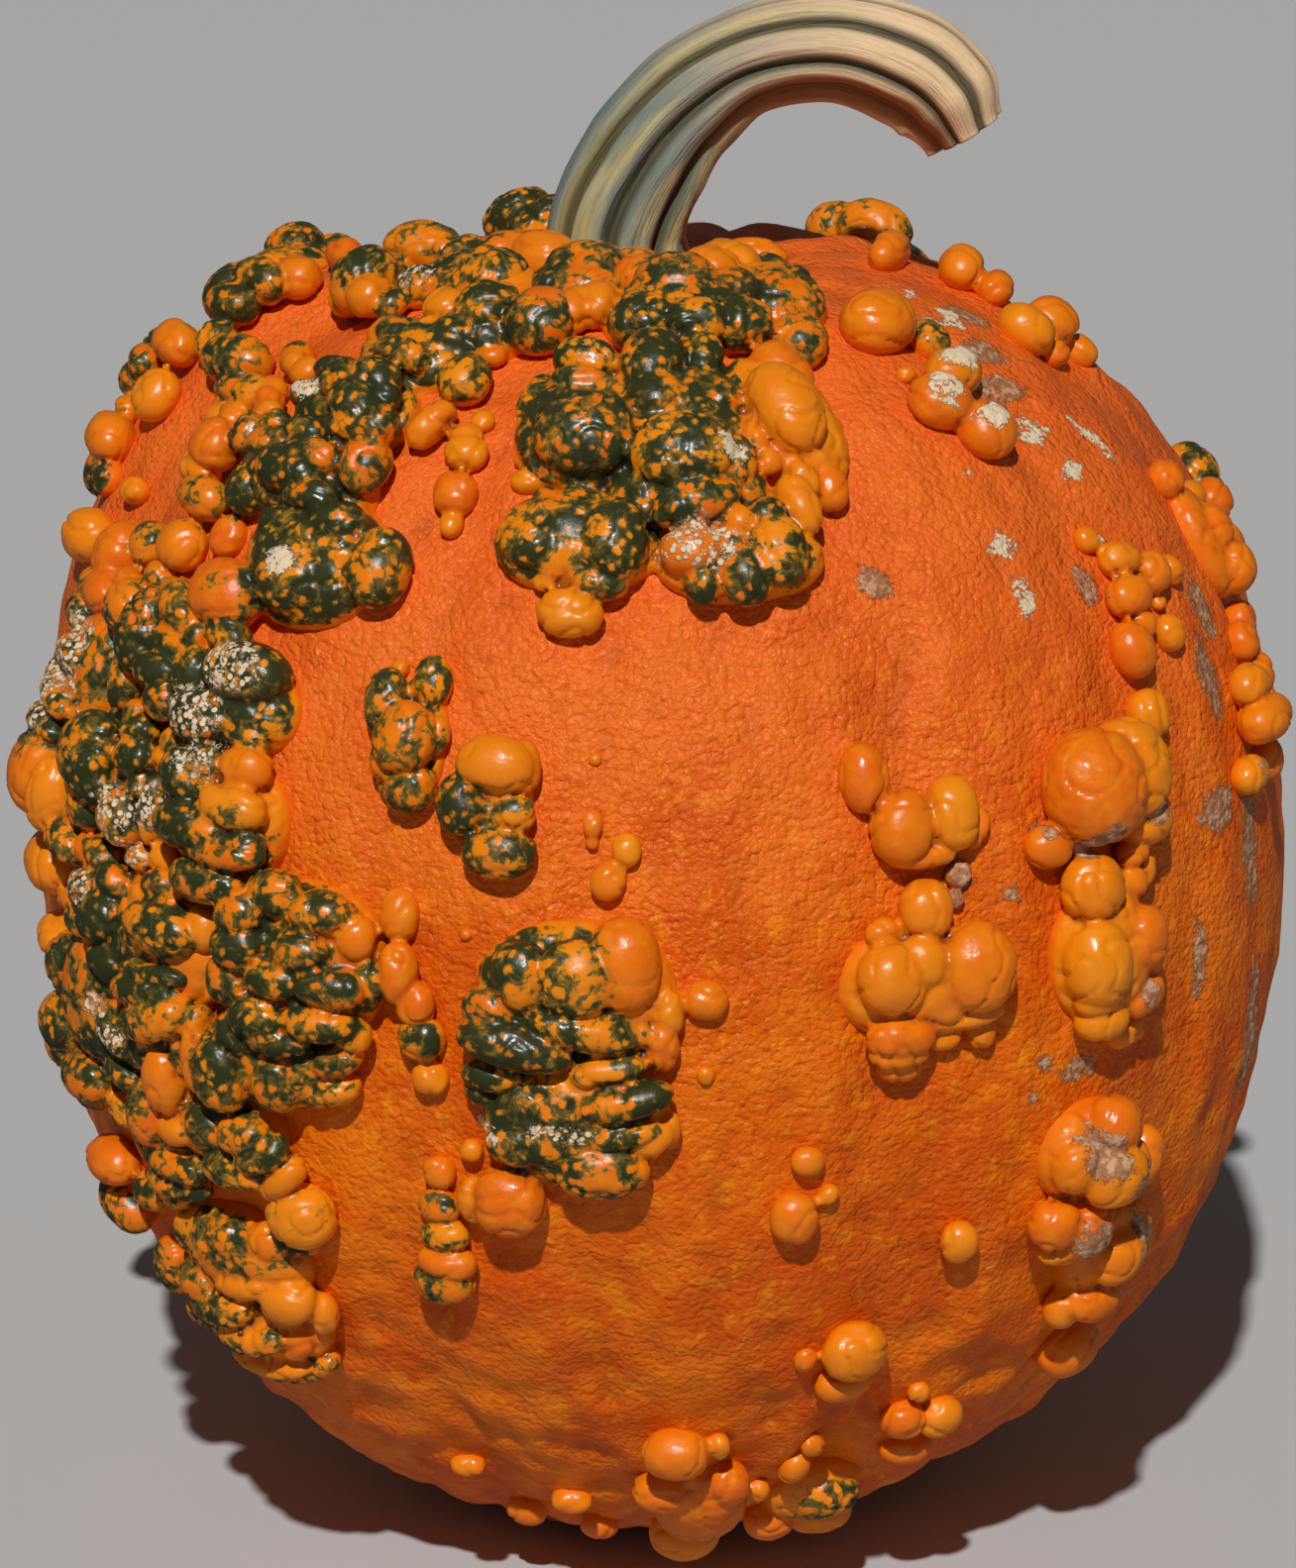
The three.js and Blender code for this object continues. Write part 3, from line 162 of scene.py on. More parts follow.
    [-44.5, 9.5, 10.5, 6, 0.6], [-41, 10, 5, 5], [-45.5, 5.5, 10, 3, 0.6, 3], [-46, 4, 10, 4, 0.8, 8],
    [-55, 3.5, 7, 2.5, 0.6, -20], [-52.5, 2.5, 5, 3.5, 0.7], [-53, 0.5, 5, 3.5, 0.8],
    [-44.5, 2, 10, 5.5, 0.7, 20], [-51, -1.5, 8, 4, 0.8, -25], [-46.5, -2.5, 6, 3, 0.6],
    [-61.5, 1.5, 6, 7, 0.5], [-62, -4, 9, 7, 0.5], [-59, -1.5, 5, 3.5, 0.6], [-54.5, -1, 4, 3, 0.6],
    [-51.5, -5, 6.5, 4, 0.8, -25], [-58, -7.5, 8.5, 6, 0.4], [-53.5, -9.5, 7, 3.5, 0.5, -20],
    [-60.5, -10, 6, 4, 0.5], [-29, 13.5, 7.5, 5, 0.6], [-33, 14.5, 6.5, 5, 0.4], [-35.5, 12.5, 6, 6, 0.6],
    [-35.5, 10, 6.5, 6, 0.75], [-30, 10.5, 6.5, 5, 0.7], [-26, 12, 4.5, 5, 0.05], [-36.5, 7, 6, 6, 0.8],
    [-32, 8, 7, 4.5, 0.8], [-27.5, 8, 8, 4.5, 0.6], [-24.5, 8.5, 3.5, 4.5, 0.7], [-33.5, 4.5, 7, 5, 0.85],
    [-28.5, 5, 8, 4, 0.6], [-32, 3, 8, 3.5, 0.9], [-27, 5, 5, 4, 0.2], [-26, 4, 4, 4, 0.1],
    [-36, 2.5, 5, 5, 0.95], [-37.5, -1, 6.5, 9, 0.5], [-37, 1.5, 4.5, 4, 0.8], [-32.5, -1, 6, 6.5, 0.6],
    [-27.5, 1.5, 6, 3.5, 0.6, 25], [-28.5, -1.5, 7, 3.5, 0.3, 15], [-40.5, 0, 3, 9.5, 0.2],
    [-42.5, -0.5, 2.5, 6, 0.4], [-44.5, -3.5, 5, 8, 0.1], [-40.5, -7, 6, 5, 0.8],
    [-36, -6.5, 6.5, 4.5, 0.4], [-34.5, -8, 7, 3.5, 0.5, 20], [-34, -7.5, 5.5, 3, 0.4, 35],
    [-37.5, -10, 9, 4, 0.6], [-47.5, -7.5, 5.5, 8, 0.6], [-44, -8, 6.5, 3.5, 0.1],
    [-44.5, -11.5, 9, 3.5, 0.3], [-45.5, -13.5, 9, 3.5, 0.5], [-58.5, -16, 8, 5, 0.15],
    [-59, -20.5, 8, 5, 0.4, -30], [-53, -17.5, 5.5, 4.5, 0.7], [-47.5, -15.5, 4.5, 4, 0.4],
    [-46, -19, 5, 5.5, 0.4], [-41, -18, 6, 5.5, 0.4], [-36.5, -17.5, 5, 5, 0.2], [-52.5, -25, 5.5, 7, 0.3],
    [-45.5, -23.5, 7, 6, 0.4], [-39.5, -21.5, 9, 3.5, 0.2, 10], [-42.5, -24.5, 9, 4.5, 0.5, 10],
    [-35.5, -22.5, 7, 5.5, 0.05], [-40.5, -27, 10, 4.5, 0.3, 8], [-50.5, -29.5, 8, 4, 0.5],
    [-36.5, -27.5, 6, 4.5, 0.1, 35], [-33, -24.5, 3.5, 5, 0.1], [-41, -31, 12, 3, 0.2, 5],
    [-36.5, -31.5, 8, 3, 0.4, 30], [-43, -34, 8, 3, 0.4], [-33, -10, 6.5, 3.5, 0, 45],
    [-32, -13.5, 7.5, 7, 0.2], [-33.5, -17, 5, 2.5, 0.6], [-12, -49.5, 4.5, 3], [-10, -57, 4, 4],
    [-25, -46, 4, 2.5], [-22, -57, 4.5, 4], [1.5, -38, 7, 6], [0.5, -45, 7, 5], [6, -38, 2.5, 3.5],
    [7.5, -44, 5, 6], [6, -50, 6.5, 6], [3.5, -57, 7.5, 7], [15.5, -43.5, 3.5, 4.5],
    [17, -40.5, 3.5, 2.5, 0, -40], [12, -47.5, 2.5, 3.5], [22, -50, 8, 7, 0.3], [16, -55, 6, 6, 0.1],
    [24, -55, 8, 5, 0.2], [18, -26.5, 7, 6.5], [18, -31, 6.5, 4], [13.5, -27, 2.5, 3], [27, -37.5, 5, 4.5],
    [31, -37.5, 5, 5], [27.5, -34, 2.5, 2.5], [29.5, -42.5, 6, 3.5], [12, -6, 3.5, 3], [11, -11, 5, 5.5],
    [14, -9.5, 2.5, 2, 0, 45], [27, -16, 4, 4.5], [17.5, 25.5, 5, 7], [17, 28, 1.5, 1.5],
    [20.5, 21.5, 6.5, 7.5, 0.05], [25.5, 22, 5.5, 7.5], [22.5, 19, 7, 2.5], [28, 20.5, 4.5, 2, 0.1, 70],
    [26, 17, 3, 2.5, 0, 45], [25.5, 15, 2, 2], [22.5, 14.5, 5.5, 6.5], [18.5, 9.5, 7.5, 7.5],
    [18.5, 13, 4, 3], [21.5, 10.5, 6, 6], [26.5, 9.5, 8.5, 9.5, 0.1], [19.5, 4.5, 7.5, 4.5],
    [19.5, 3, 6.5, 3.5], [20, 1.5, 5, 3], [17, 7, 3, 2], [26, 5.5, 8, 3, 0, 5], [24, 3.5, 4, 2.5],
    [27.5, 3.5, 3, 3.5], [39, 22, 11.5, 12, 0.05], [43.5, 22.5, 9, 11, 0.05], [45, 18.5, 7, 6, 0.1],
    [34.5, 18, 5.5, 4.5], [38, 17.5, 2.5, 2.5], [38, 14, 7, 7, 0.05], [43.5, 16, 4.5, 3, 0, 30],
    [43, 13.5, 4, 3.5], [45.5, 14.5, 2.5, 5], [41.5, 13, 2.5, 3.5], [37.5, 8, 7.5, 9.5], [42.5, 9, 6.5, 7],
    [44, 7, 4, 5], [38, 5, 6.5, 4], [38.5, 3, 6.5, 4.5], [43, 4, 6.5, 4.5, 0.1, 15], [42, 0.5, 4.5, 3, 0.1],
    [44.5, 0.5, 2, 4], [40, -7, 6.5, 7], [36.5, -9.5, 6, 6, 0.1], [39.5, -10.5, 8, 7, 0.1],
    [42, -11, 5.5, 6.5], [35.5, -15, 6, 5.5, 0.1], [38.5, -16, 6, 6.5], [37.5, -18, 7, 3, 0.1],
    [44, -20.5, 8, 7, 0.1], [43, -17.5, 3, 4], [46.5, -19, 3, 8], [50.5, -21.5, 4.5, 5.5],
    [43.5, -25, 8.5, 5.5, 0.1], [41, -26, 4.5, 5], [47, -12.5, 5, 7], [47.5, -34, 8, 7], [41, 64, 9, 7.5],
    [51.5, 62, 4.5, 5, 0.5], [39, 58.5, 2.5, 2], [46.5, 57.5, 7.5, 5.5, 0.1], [39, 54.5, 7, 6, 0.1, -30],
    [43.5, 51.5, 6.5, 6.5], [91, 71, 8, 4], [92, 65, 7, 5], [90, 62, 6, 4], [76, 58.5, 6, 6.5, 0.1],
    [86, 57, 7, 6, 0.05], [80, 55.5, 4.5, 3], [88, 53.5, 4, 4], [51.5, 41, 3, 3], [54, 38.5, 5, 4],
    [52.5, 35.5, 5.5, 4.5], [53, 33, 3.5, 3], [57.5, 36.5, 4.5, 4.5], [61.5, 36, 3, 3.5],
    [57.5, 34, 2, 1.5], [57, 31.5, 3.5, 4], [74, 42, 5, 4.5], [82, 39, 5, 3.5], [89, 36.5, 6, 5],
    [76, 36.5, 6, 6], [76.5, 33, 7, 6], [85, 33.5, 5, 5], [77, 28.5, 5, 4], [71, 27.5, 4.5, 4.5],
    [50.5, 31.5, 5, 6], [50.5, 26, 5, 5.5], [67, 24.5, 6, 4.5], [72, 24.5, 4.5, 5], [67.5, 21.5, 9, 5],
    [64.5, 17.5, 6, 4], [70.5, 17.5, 4, 5], [-23, 74, 9.5, 9, 0.5], [-12, 79, 6, 6, 0.3],
    [3, 69.5, 9, 8, 0.55], [-6, 72.5, 6, 7, 0.4], [25, 76, 10, 7, 0.1], [12, 73, 7, 7, 0.2],
    [14, 69, 6.5, 6.5, 0.5], [30, 69.5, 6, 8, 0.6], [24.5, 63.5, 6.5, 6.5, 0.35], [-2.5, 65, 7.5, 7, 0.95],
    [5.5, 64, 7, 5.5, 0.7], [13, 64.5, 7, 6.5, 0.85], [-44, 70, 9.5, 8, 0.3], [-50, 77, 8, 7, 0.1],
    [-33.5, 65, 7.5, 7.5, 0.6],
]

# The unseen side: heaps, chains and single warts placed by a seeded rule, in degrees and millimetres
UNSEEN_SEED = 20
HEAP_RISES = [60, 34, 8, -20]
HEAP_TURNS = [110, 138, 166, 194, 222, 248]
HEAP_HALF = [13, 11, 8]
HEAP_REACH = 10
CHAIN_TURNS = [124, 152, 180, 208, 235]
CHAIN_WARTS = 5
SINGLE_WARTS = 26
MM_PER_DEGREE = 2.4

# Making of the fruit's meshes: counts, and sizes in millimetres
RIND_CUTS = 110
# Lumps of the skin: size, height, added height low down, seed
LUMPS = [[11, 0.6, 0.9, 1], [5.5, 0.3, 0.5, 2]]
UNDULATION_DEPTH = 1.2
UNDULATION_SIZE = 9
LOBE_FINENESS = 3
LOBE_SQUARENESS = 2.15
VOXEL = 0.75
HEAP_SPREAD = 1.1
HEAP_FULLNESS = 1.15
ROOT_DEPTH = 2
FOLD_DEPTH = 0.55
FOLD_SIZE = 8
FOLD_WIDTH = 0.06
FOLD_WINDING = 1.5
DENT_DEPTH = 0.25
DENT_SIZE = 4
CREASE_ROUNDS = 10
CREASE_CUT = 1.6
CREASE_MOST = 2
RIDGE_MOST = 0.3
WART_FACES = 150000
TONE_SEED = 7
# Where the first wart piece starts (degrees)
FIRST_TURN = -112
# Wart pieces: name, first and last turn (degrees) of the lobes in it
WART_PIECES = [
    ["warts_left", FIRST_TURN, -46], ["warts_front_left", -46, -20], ["warts_front", -20, 28],
    ["warts_right", 28, 98], ["warts_back", 98, 248],
]

# Marks on the rind: turn, rise (degrees), half width, half height (mm), tilt (degrees), 0 where left out
CORK_MARKS = [
    [61, 63, 6.5, 1.8, -40], [65.5, 64, 3, 3], [65, 67.5, 2, 1.5], [54.5, 51, 3.5, 4.5, -50],
    [56, 46.5, 2, 4, -60], [64, 48.5, 1.5, 7, 20], [38.5, 42, 3.3, 3], [38.5, 37.5, 2.3, 4.5],
    [39, 48.7, 1, 1], [53, 40.5, 2.5, 1], [46.5, 57.5, 5, 3], [39, 54.5, 3.5, 4], [43.5, 51.5, 4, 3],
    [-50, 53, 5, 2.3], [7.5, 50, 3, 2.5], [-38, 38.5, 3.5, 3],
]
SCARS = [
    [49, 53, 6, 5], [55, 56, 7, 3, -30], [61, 59, 5, 3, -30], [70, 63, 5, 4], [22.5, 41, 3, 3],
    [48.5, 37.5, 3, 4], [62, 26.5, 4, 8], [65, 12, 4, 14], [66, -6, 4, 16], [66, 32, 4, 6],
    [38, -2, 5, 2.5], [26, 17, 3, 3], [25.5, 15, 2.5, 2.5], [38, 17.5, 3, 2.5], [45, 18.5, 3, 2],
    [43, 4, 2.5, 2.5], [38, -8, 5, 4], [42, -11, 4, 4], [38.5, -16, 4, 4], [46.5, -19, 3, 5],
    [50.5, -21.5, 3.5, 4], [34, 19, 1.5, 1.5], [31, 14.5, 1.5, 1.5], [34, -0.5, 1.5, 1.5],
    [33, -3.5, 1.5, 1.5], [59, 16, 6, 4], [55, 4, 2, 8],
]
SPECKLED = [
    [-40, 30.5, 7, 5], [-43.5, 26.5, 8, 5], [-41.5, 23, 5, 4], [-51.5, 17, 6, 6], [-48, 18.5, 4, 5],
    [-49.5, 14, 4, 3], [-55, 10, 6, 4], [-53, 0.5, 4, 3], [-51, -1.5, 5, 3], [-68, 25, 10, 14],
    [-58, 67, 4, 4], [-9, -2, 5, 2], [-6.5, -2.3, 4, 2], [-14, -2.8, 4, 2], [4, 43, 8, 5],
]

# Stem, in millimetres
STEM_LINE = [
    [-9, -4, 258], [-9.5, -4, 270], [-9.5, -4, 284], [-4, -4, 297], [5, -4, 309],
    [18, -4, 318], [35, -4, 321], [50, -4, 317], [58, -4, 311], [63, -4, 303],
]
STEM_RADII = [18, 15.5, 13.8, 13.2, 12, 10.8, 11.2, 12, 11.5, 8.5]
STEM_AROUND = 160
STEM_STEPS = 140
STEM_RIDGES = 8
STEM_TURN = 0.21
STEM_TWIST = -0.5
RIDGE_TOP = 1.08
GROOVE_DEPTH = 0.26
GROOVE_SHARPNESS = 1.6
CHANNEL_AT = 2.4
CHANNEL_WIDTH = 0.5
CHANNEL_DEPTH = 0.25
CUT_END = [(0.12, 0), (0.1, -0.03), (0.15, -0.03), (0.2, -0.01)]

# Colours, linear
SKIN = (0.78, 0.16, 0.003)
SKIN_DEEP = (0.64, 0.085, 0.002)
SKIN_FLECK = (0.84, 0.24, 0.004)
# Redder tone of the upper skin together with a painted pinkish sheen
SKIN_BLUSH_AND_SHEEN = (0.80, 0.13, 0.02)
WART_LIGHT = (0.78, 0.23, 0.004)
WART_DEEP = (0.72, 0.12, 0.002)
GREEN = (0.080, 0.070, 0.014)
GREEN_DEEP = (0.030, 0.033, 0.008)
OLIVE = (0.30, 0.17, 0.012)
# Painted shade: the colour the rind's hollows are darkened towards
RIND_CREASE_SHADE = (0.24, 0.045, 0.004)
CREASE_SHADE = (0.3, 0.2, 0.25)
SCAR = (0.27, 0.13, 0.06)
SCAR_PALE = (0.50, 0.34, 0.21)
CORK = (0.72, 0.56, 0.36)
STEM_STRAW = (0.50, 0.40, 0.15)
STEM_GREY = (0.36, 0.34, 0.20)
STEM_BLUE = (0.12, 0.17, 0.17)
STEM_PALE = (0.80, 0.55, 0.31)
# Painted shade in the stem's grooves
STEM_GROOVE_SHADE = (0.06, 0.05, 0.02)
# The stem's cut end's own brown, also used as painted shade and painted reflected orange light on its under
# side
STEM_CUT_AND_PAINTED_UNDERSIDE = (0.30, 0.10, 0.02)
FLOOR_GREY = (0.5, 0.49, 0.48)

SPOT_WINDING = 0.003
SKIN_RELIEF = 1.1
WART_RELIEF = 0.3
STEM_RELIEF = 0.8

# Studio
FLOOR_HALF = 8
KEY_WAY = (-0.07, -0.68, 0.72)
KEY_POWER = 3.2
KEY_ANGLE = 1.5
FILL_WAY = (0.5, -1, 0.35)
FILL_POWER = 0.3
FILL_SIZE = 2.0
LIGHT_DISTANCE = 2.5
SKY_POWER = 0.06


class Dice:
    """Seeded draws. The ones that place the unseen warts are the same as in the solid."""

    def __init__(self, seed):
        self.state = seed

    def draw(self, low, high):
        self.state = (self.state * 1664525 + 1013904223) % 4294967296
        return low + (high - low) * self.state / 4294967296


def unseen_warts():
    dice = Dice(UNSEEN_SEED)
    warts = []
    heaps = []
    for row, row_rise in enumerate(HEAP_RISES):
        for column, column_turn in enumerate(HEAP_TURNS):
            skipped = (row * 3 + column * 2) % 4 == 0
            heap_turn = column_turn + dice.draw(-8, 8)
            heap_rise = row_rise + dice.draw(-6, 6)
            count = 4 + math.floor(dice.draw(0, 5))
            green = dice.draw(0, 0.4) + (0.4 if column_turn > 180 else 0)
            if not skipped:
                heaps.append([heap_turn, heap_rise, *HEAP_HALF])
            for _ in range(count):
                way = math.radians(dice.draw(0, 360))
                far = HEAP_REACH * math.sqrt(dice.draw(0.05, 1))
                across = dice.draw(4.5, 9)
                up = across * dice.draw(0.65, 1.05)
                tilt = dice.draw(-35, 35)
                if skipped:
                    continue
                rise = heap_rise + far * math.sin(way) / MM_PER_DEGREE
                turn = heap_turn + far * math.cos(way) / (MM_PER_DEGREE * math.cos(math.radians(heap_rise)))
                warts.append([turn, rise, across, up, green, tilt])
    for turn in CHAIN_TURNS:
        rise = dice.draw(-10, 60)
        for _ in range(CHAIN_WARTS):
            across = dice.draw(3, 6)
            beside = dice.draw(-1, 1)
            up = across * dice.draw(0.7, 1.1)
            warts.append([turn + beside, rise, across, up, dice.draw(0, 0.3), 0])
            rise -= across * 0.85
    for _ in range(SINGLE_WARTS):
        across = dice.draw(2.5, 6)
        turn = dice.draw(98, 262)
        rise = dice.draw(-58, 66)
        up = across * dice.draw(0.7, 1.1)
        tilt = dice.draw(-40, 40)
        warts.append([turn, rise, across, up, dice.draw(0, 0.4), tilt])
    return warts, heaps


def filled(rows, count):
    """Rows with 0 for each last value that is left out."""
    return [row + [0] * (count - len(row)) for row in rows]


def turn_between(a, b):
    return (a - b + 180) % 360 - 180


def smooth_step(value, low, high):
    share = np.clip((value - low) / (high - low), 0, 1)
    return share * share * (3 - 2 * share)


def skin_radius(turn, rise):
    """Distance of the bare skin from the middle of the belly, in millimetres."""
    c = np.abs(np.cos(np.radians(rise)))
    s = np.abs(np.sin(np.radians(rise)))
    height = np.where(rise > 0, TOP_H, BOTTOM_H)
    power = np.where(rise > 0, TOP_POWER, BOTTOM_POWER)
    r = ((c / BELLY_R) ** power + (s / height) ** power) ** (-1 / power)
    r = r - DIMPLE_DEPTH * np.exp(-(((90 - rise) / DIMPLE_WIDTH) ** 2))
    for at, deep, wide in VALLEYS:
        r = r - deep * np.exp(-((turn_between(turn, at) / wide) ** 2)) * np.sqrt(c)
    for at, up, high, wide_turn, wide_rise in SWELLINGS:
        away = (turn_between(turn, at) / wide_turn) ** 2 + ((rise - up) / wide_rise) ** 2
        r = r + high * np.exp(-away)
    return r


def skin_point(turn, rise):
    r = skin_radius(turn, rise)
    t = np.radians(turn)
    e = np.radians(rise)
    return np.stack([
        r * np.cos(e) * np.sin(t),
        -r * np.cos(e) * np.cos(t),
        BELLY_Z + r * np.sin(e),
    ], axis=-1)


def turn_and_rise(points):
    """The directions, in degrees, and the distances of points from the middle of the belly."""
    from_middle = points - np.array([0, 0, BELLY_Z])
    distance = np.linalg.norm(from_middle, axis=1)
    turn = np.degrees(np.arctan2(from_middle[:, 0], -from_middle[:, 1]))
    rise = np.degrees(np.arcsin(np.clip(from_middle[:, 2] / distance, -1, 1)))
    return turn, rise, distance


def unit(vector):
    return vector / np.linalg.norm(vector)


def skin_normal(turn, rise):
    across = skin_point(turn + 1, rise) - skin_point(turn - 1, rise)
    up = skin_point(turn, rise + 1) - skin_point(turn, rise - 1)
    return unit(np.cross(across, up))


def crowd_lifts(warts, feet):
    """How far each wart is lifted by the ones that it grows among."""
    weight = np.minimum(warts[:, 2] * warts[:, 3], CROWD_OWN) / CROWD_REACH**2
    apart = ((feet[:, None, :] - feet[None, :, :]) ** 2).sum(axis=2)
    crowd = (weight[None, :] * np.exp(-apart / CROWD_REACH**2)).sum(axis=1)
    return CROWD_LIFT * np.clip(crowd - CROWD_START, 0, 1)


class Lobe:
    """An ellipsoid that stands on the skin, in millimetres."""

    def __init__(self, turn, rise, tilt, across, up, out, height, green=0, tone=0.5):
        self.turn = turn
        normal = skin_normal(turn, rise)
        side = unit(np.cross([0, 0, 1], normal))
        top = np.cross(normal, side)
        lean = math.radians(tilt)
        self.axes = np.array([
            side * math.cos(lean) + top * math.sin(lean),
            top * math.cos(lean) - side * math.sin(lean),
            normal,
        ])
        self.half = np.array([across, up, out])
        self.centre = skin_point(turn, rise) + normal * height
        self.green = green
        self.tone = tone

    def matrix(self):
        placed = np.eye(4)
        placed[:3, :3] = (self.axes * self.half[:, None]).T
        placed[:3, 3] = self.centre
        placed[:3] *= MM
        return Matrix(placed.tolist())

    def measure(self, points):
        """1 on the lobe's surface, less inside it and more outside."""
        return np.linalg.norm((points - self.centre) @ self.axes.T / self.half, axis=1)


def grow_lobes():
    unseen, unseen_heaps = unseen_warts()
    rows = np.array(filled(SEEN_WARTS, 6) + unseen, dtype=float)
    feet = skin_point(rows[:, 0], rows[:, 1])
    lifts = crowd_lifts(rows, feet)
    dice = Dice(TONE_SEED)
    warts = []
    for (turn, rise, across, up, green, tilt), lift in zip(rows, lifts):
        across *= WART_SCALE
        up *= WART_SCALE
        out = WART_OUT * math.sqrt(across * up)
        height = lift + WART_SINK * out
        warts.append(Lobe(turn, rise, tilt, across, up, out, height, green, dice.draw(0, 1)))
    heaps = []
    for turn, rise, across, up, out in HEAPS + unseen_heaps:
        heaps.append(Lobe(turn, rise, 0, across * HEAP_SPREAD, up * HEAP_SPREAD, out * HEAP_FULLNESS, 0))
    return warts, heaps


def link(name, mesh):
    piece = bpy.data.objects.new(name, mesh)
    bpy.context.scene.collection.objects.link(piece)
    return piece


def mesh_of(bm, name):
    mesh = bpy.data.meshes.new(name)
    bm.to_mesh(mesh)
    bm.free()
    return mesh


def apply_modifiers(piece):
    bpy.context.view_layer.update()
    finished = bpy.data.meshes.new_from_object(piece.evaluated_get(bpy.context.evaluated_depsgraph_get()))
    rough = piece.data
    piece.modifiers.clear()
    piece.data = finished
    bpy.data.meshes.remove(rough)


def points_of(mesh):
    flat = np.empty(len(mesh.vertices) * 3, dtype=np.float32)
    mesh.vertices.foreach_get("co", flat)
    return flat.reshape(-1, 3).astype(float) / MM


def set_points(mesh, points):
    mesh.vertices.foreach_set("co", (points * MM).astype(np.float32).ravel())
    mesh.update()


def normals_of(mesh):
    flat = np.empty(len(mesh.vertices) * 3, dtype=np.float32)
    mesh.vertex_normals.foreach_get("vector", flat)
    return flat.reshape(-1, 3).astype(float)


def averaged(mesh, values, rounds):
    """Values at the vertices, averaged with their neighbours' ones several times."""
    ends = np.empty(len(mesh.edges) * 2, dtype=np.int32)
    mesh.edges.foreach_get("vertices", ends)
    a, b = ends.reshape(-1, 2).T
    count = len(values)
    share = np.bincount(a, minlength=count) + np.bincount(b, minlength=count)
    columns = values.reshape(count, -1).T.copy()
    for _ in range(rounds):
        for i, column in enumerate(columns):
            around = np.bincount(a, column[b], count) + np.bincount(b, column[a], count)
            columns[i] = 0.5 * column + 0.5 * around / share
    return columns.T.reshape(values.shape)


def noise_field(points, size, seed):
    """Soft noise from about -1 to 1 with features of a size in millimetres."""
    shift = Vector((seed * 17.3, seed * 5.1, seed * 9.7))
    return np.array([noise.noise(Vector(p) + shift) for p in (points / size).tolist()])


def lobe_shells(name, lobes):
    """Every lobe as a closed shell, all in one piece, before they grow together."""
    bm = bmesh.new()
    bmesh.ops.create_icosphere(bm, subdivisions=LOBE_FINENESS, radius=1)
    for vertex in bm.verts:
        vertex.co /= sum(abs(part) ** LOBE_SQUARENESS for part in vertex.co) ** (1 / LOBE_SQUARENESS)
    lobe_mesh = mesh_of(bm, "lobe")
    shells = []
    for lobe in lobes:
        shell = link("lobe", lobe_mesh.copy() if not shells else lobe_mesh)
        shell.matrix_world = lobe.matrix()
        shells.append(shell)
    piece = shells[0]
    with bpy.context.temp_override(active_object=piece, selected_editable_objects=shells):
        bpy.ops.object.join()
    piece.name = name
    piece.data.transform(piece.matrix_world)
    piece.matrix_world = Matrix.Identity(4)
    bpy.data.meshes.remove(lobe_mesh)
    return piece


def grow_together(piece):
    remesh = piece.modifiers.new("grow together", "REMESH")
    remesh.mode = "VOXEL"
    remesh.voxel_size = VOXEL * MM
    apply_modifiers(piece)


def height_above_skin(points):
    turn, rise, distance = turn_and_rise(points)
    return distance - skin_radius(turn, rise)


def fold_warts(piece):
    """Cuts the creases, folds the top and presses the hidden under side to a thin sheet below the skin."""
    mesh = piece.data
    points = points_of(mesh)
    proud = smooth_step(height_above_skin(points), 0.5, 3)
    cut = np.clip(CREASE_CUT * hollows(mesh, points, CREASE_ROUNDS), -RIDGE_MOST, CREASE_MOST)
    points -= normals_of(mesh) * (cut * proud)[:, None]
    set_points(mesh, points)
    winding = points + FOLD_WINDING * np.stack([noise_field(points, 9, seed) for seed in (3, 4, 5)], axis=1)
    fold = np.abs(noise_field(winding, FOLD_SIZE, 6))
    folds = -FOLD_DEPTH * np.exp(-((fold / FOLD_WIDTH) ** 2)) + DENT_DEPTH * noise_field(points, DENT_SIZE, 7)
    points += normals_of(mesh) * (folds * smooth_step(height_above_skin(points), 0, 3))[:, None]
    turn, rise, distance = turn_and_rise(points)
    least = skin_radius(turn, rise) - ROOT_DEPTH
    middle = np.array([0, 0, BELLY_Z])
    points = middle + (points - middle) * np.maximum(1, least / distance)[:, None]
    points[:, 2] = np.maximum(points[:, 2], 0)
    set_points(mesh, points)


def thin_out(piece, faces):
    piece.data.calc_loop_triangles()
    decimate = piece.modifiers.new("thin out", "DECIMATE")
    decimate.ratio = min(1, faces / len(piece.data.loop_triangles))
    apply_modifiers(piece)


def store(mesh, name, values):
    attribute = mesh.attributes.new(name, "FLOAT", "POINT")
    attribute.data.foreach_set("value", values.astype(np.float32))


def near_marks(turn, rise, marks):
    """1 in the middle of the nearest of some elliptic marks, 0 well outside all of them."""
    found = np.zeros(len(turn))
    for at_turn, at_rise, half_wide, half_high, tilt in filled(marks, 5):
        x = np.radians(turn_between(turn, at_turn)) * BELLY_R * np.cos(np.radians(rise))
        y = np.radians(rise - at_rise) * BELLY_R
        lean = math.radians(tilt)
        along = (x * math.cos(lean) + y * math.sin(lean)) / half_wide
        over = (y * math.cos(lean) - x * math.sin(lean)) / half_high
        found = np.maximum(found, 1 - smooth_step(np.hypot(along, over), 0.5, 1.5))
    return found


def hollows(mesh, points, rounds):
    """How far the surface lies below its own smoothed form, in millimetres."""
    below = ((averaged(mesh, points, rounds) - points) * normals_of(mesh)).sum(axis=1)
    return averaged(mesh, below, 1)


def store_marks(mesh, turn, rise):
    store(mesh, "cork", near_marks(turn, rise, CORK_MARKS))
    store(mesh, "scar", near_marks(turn, rise, SCARS))
    store(mesh, "speck", near_marks(turn, rise, SPECKLED))


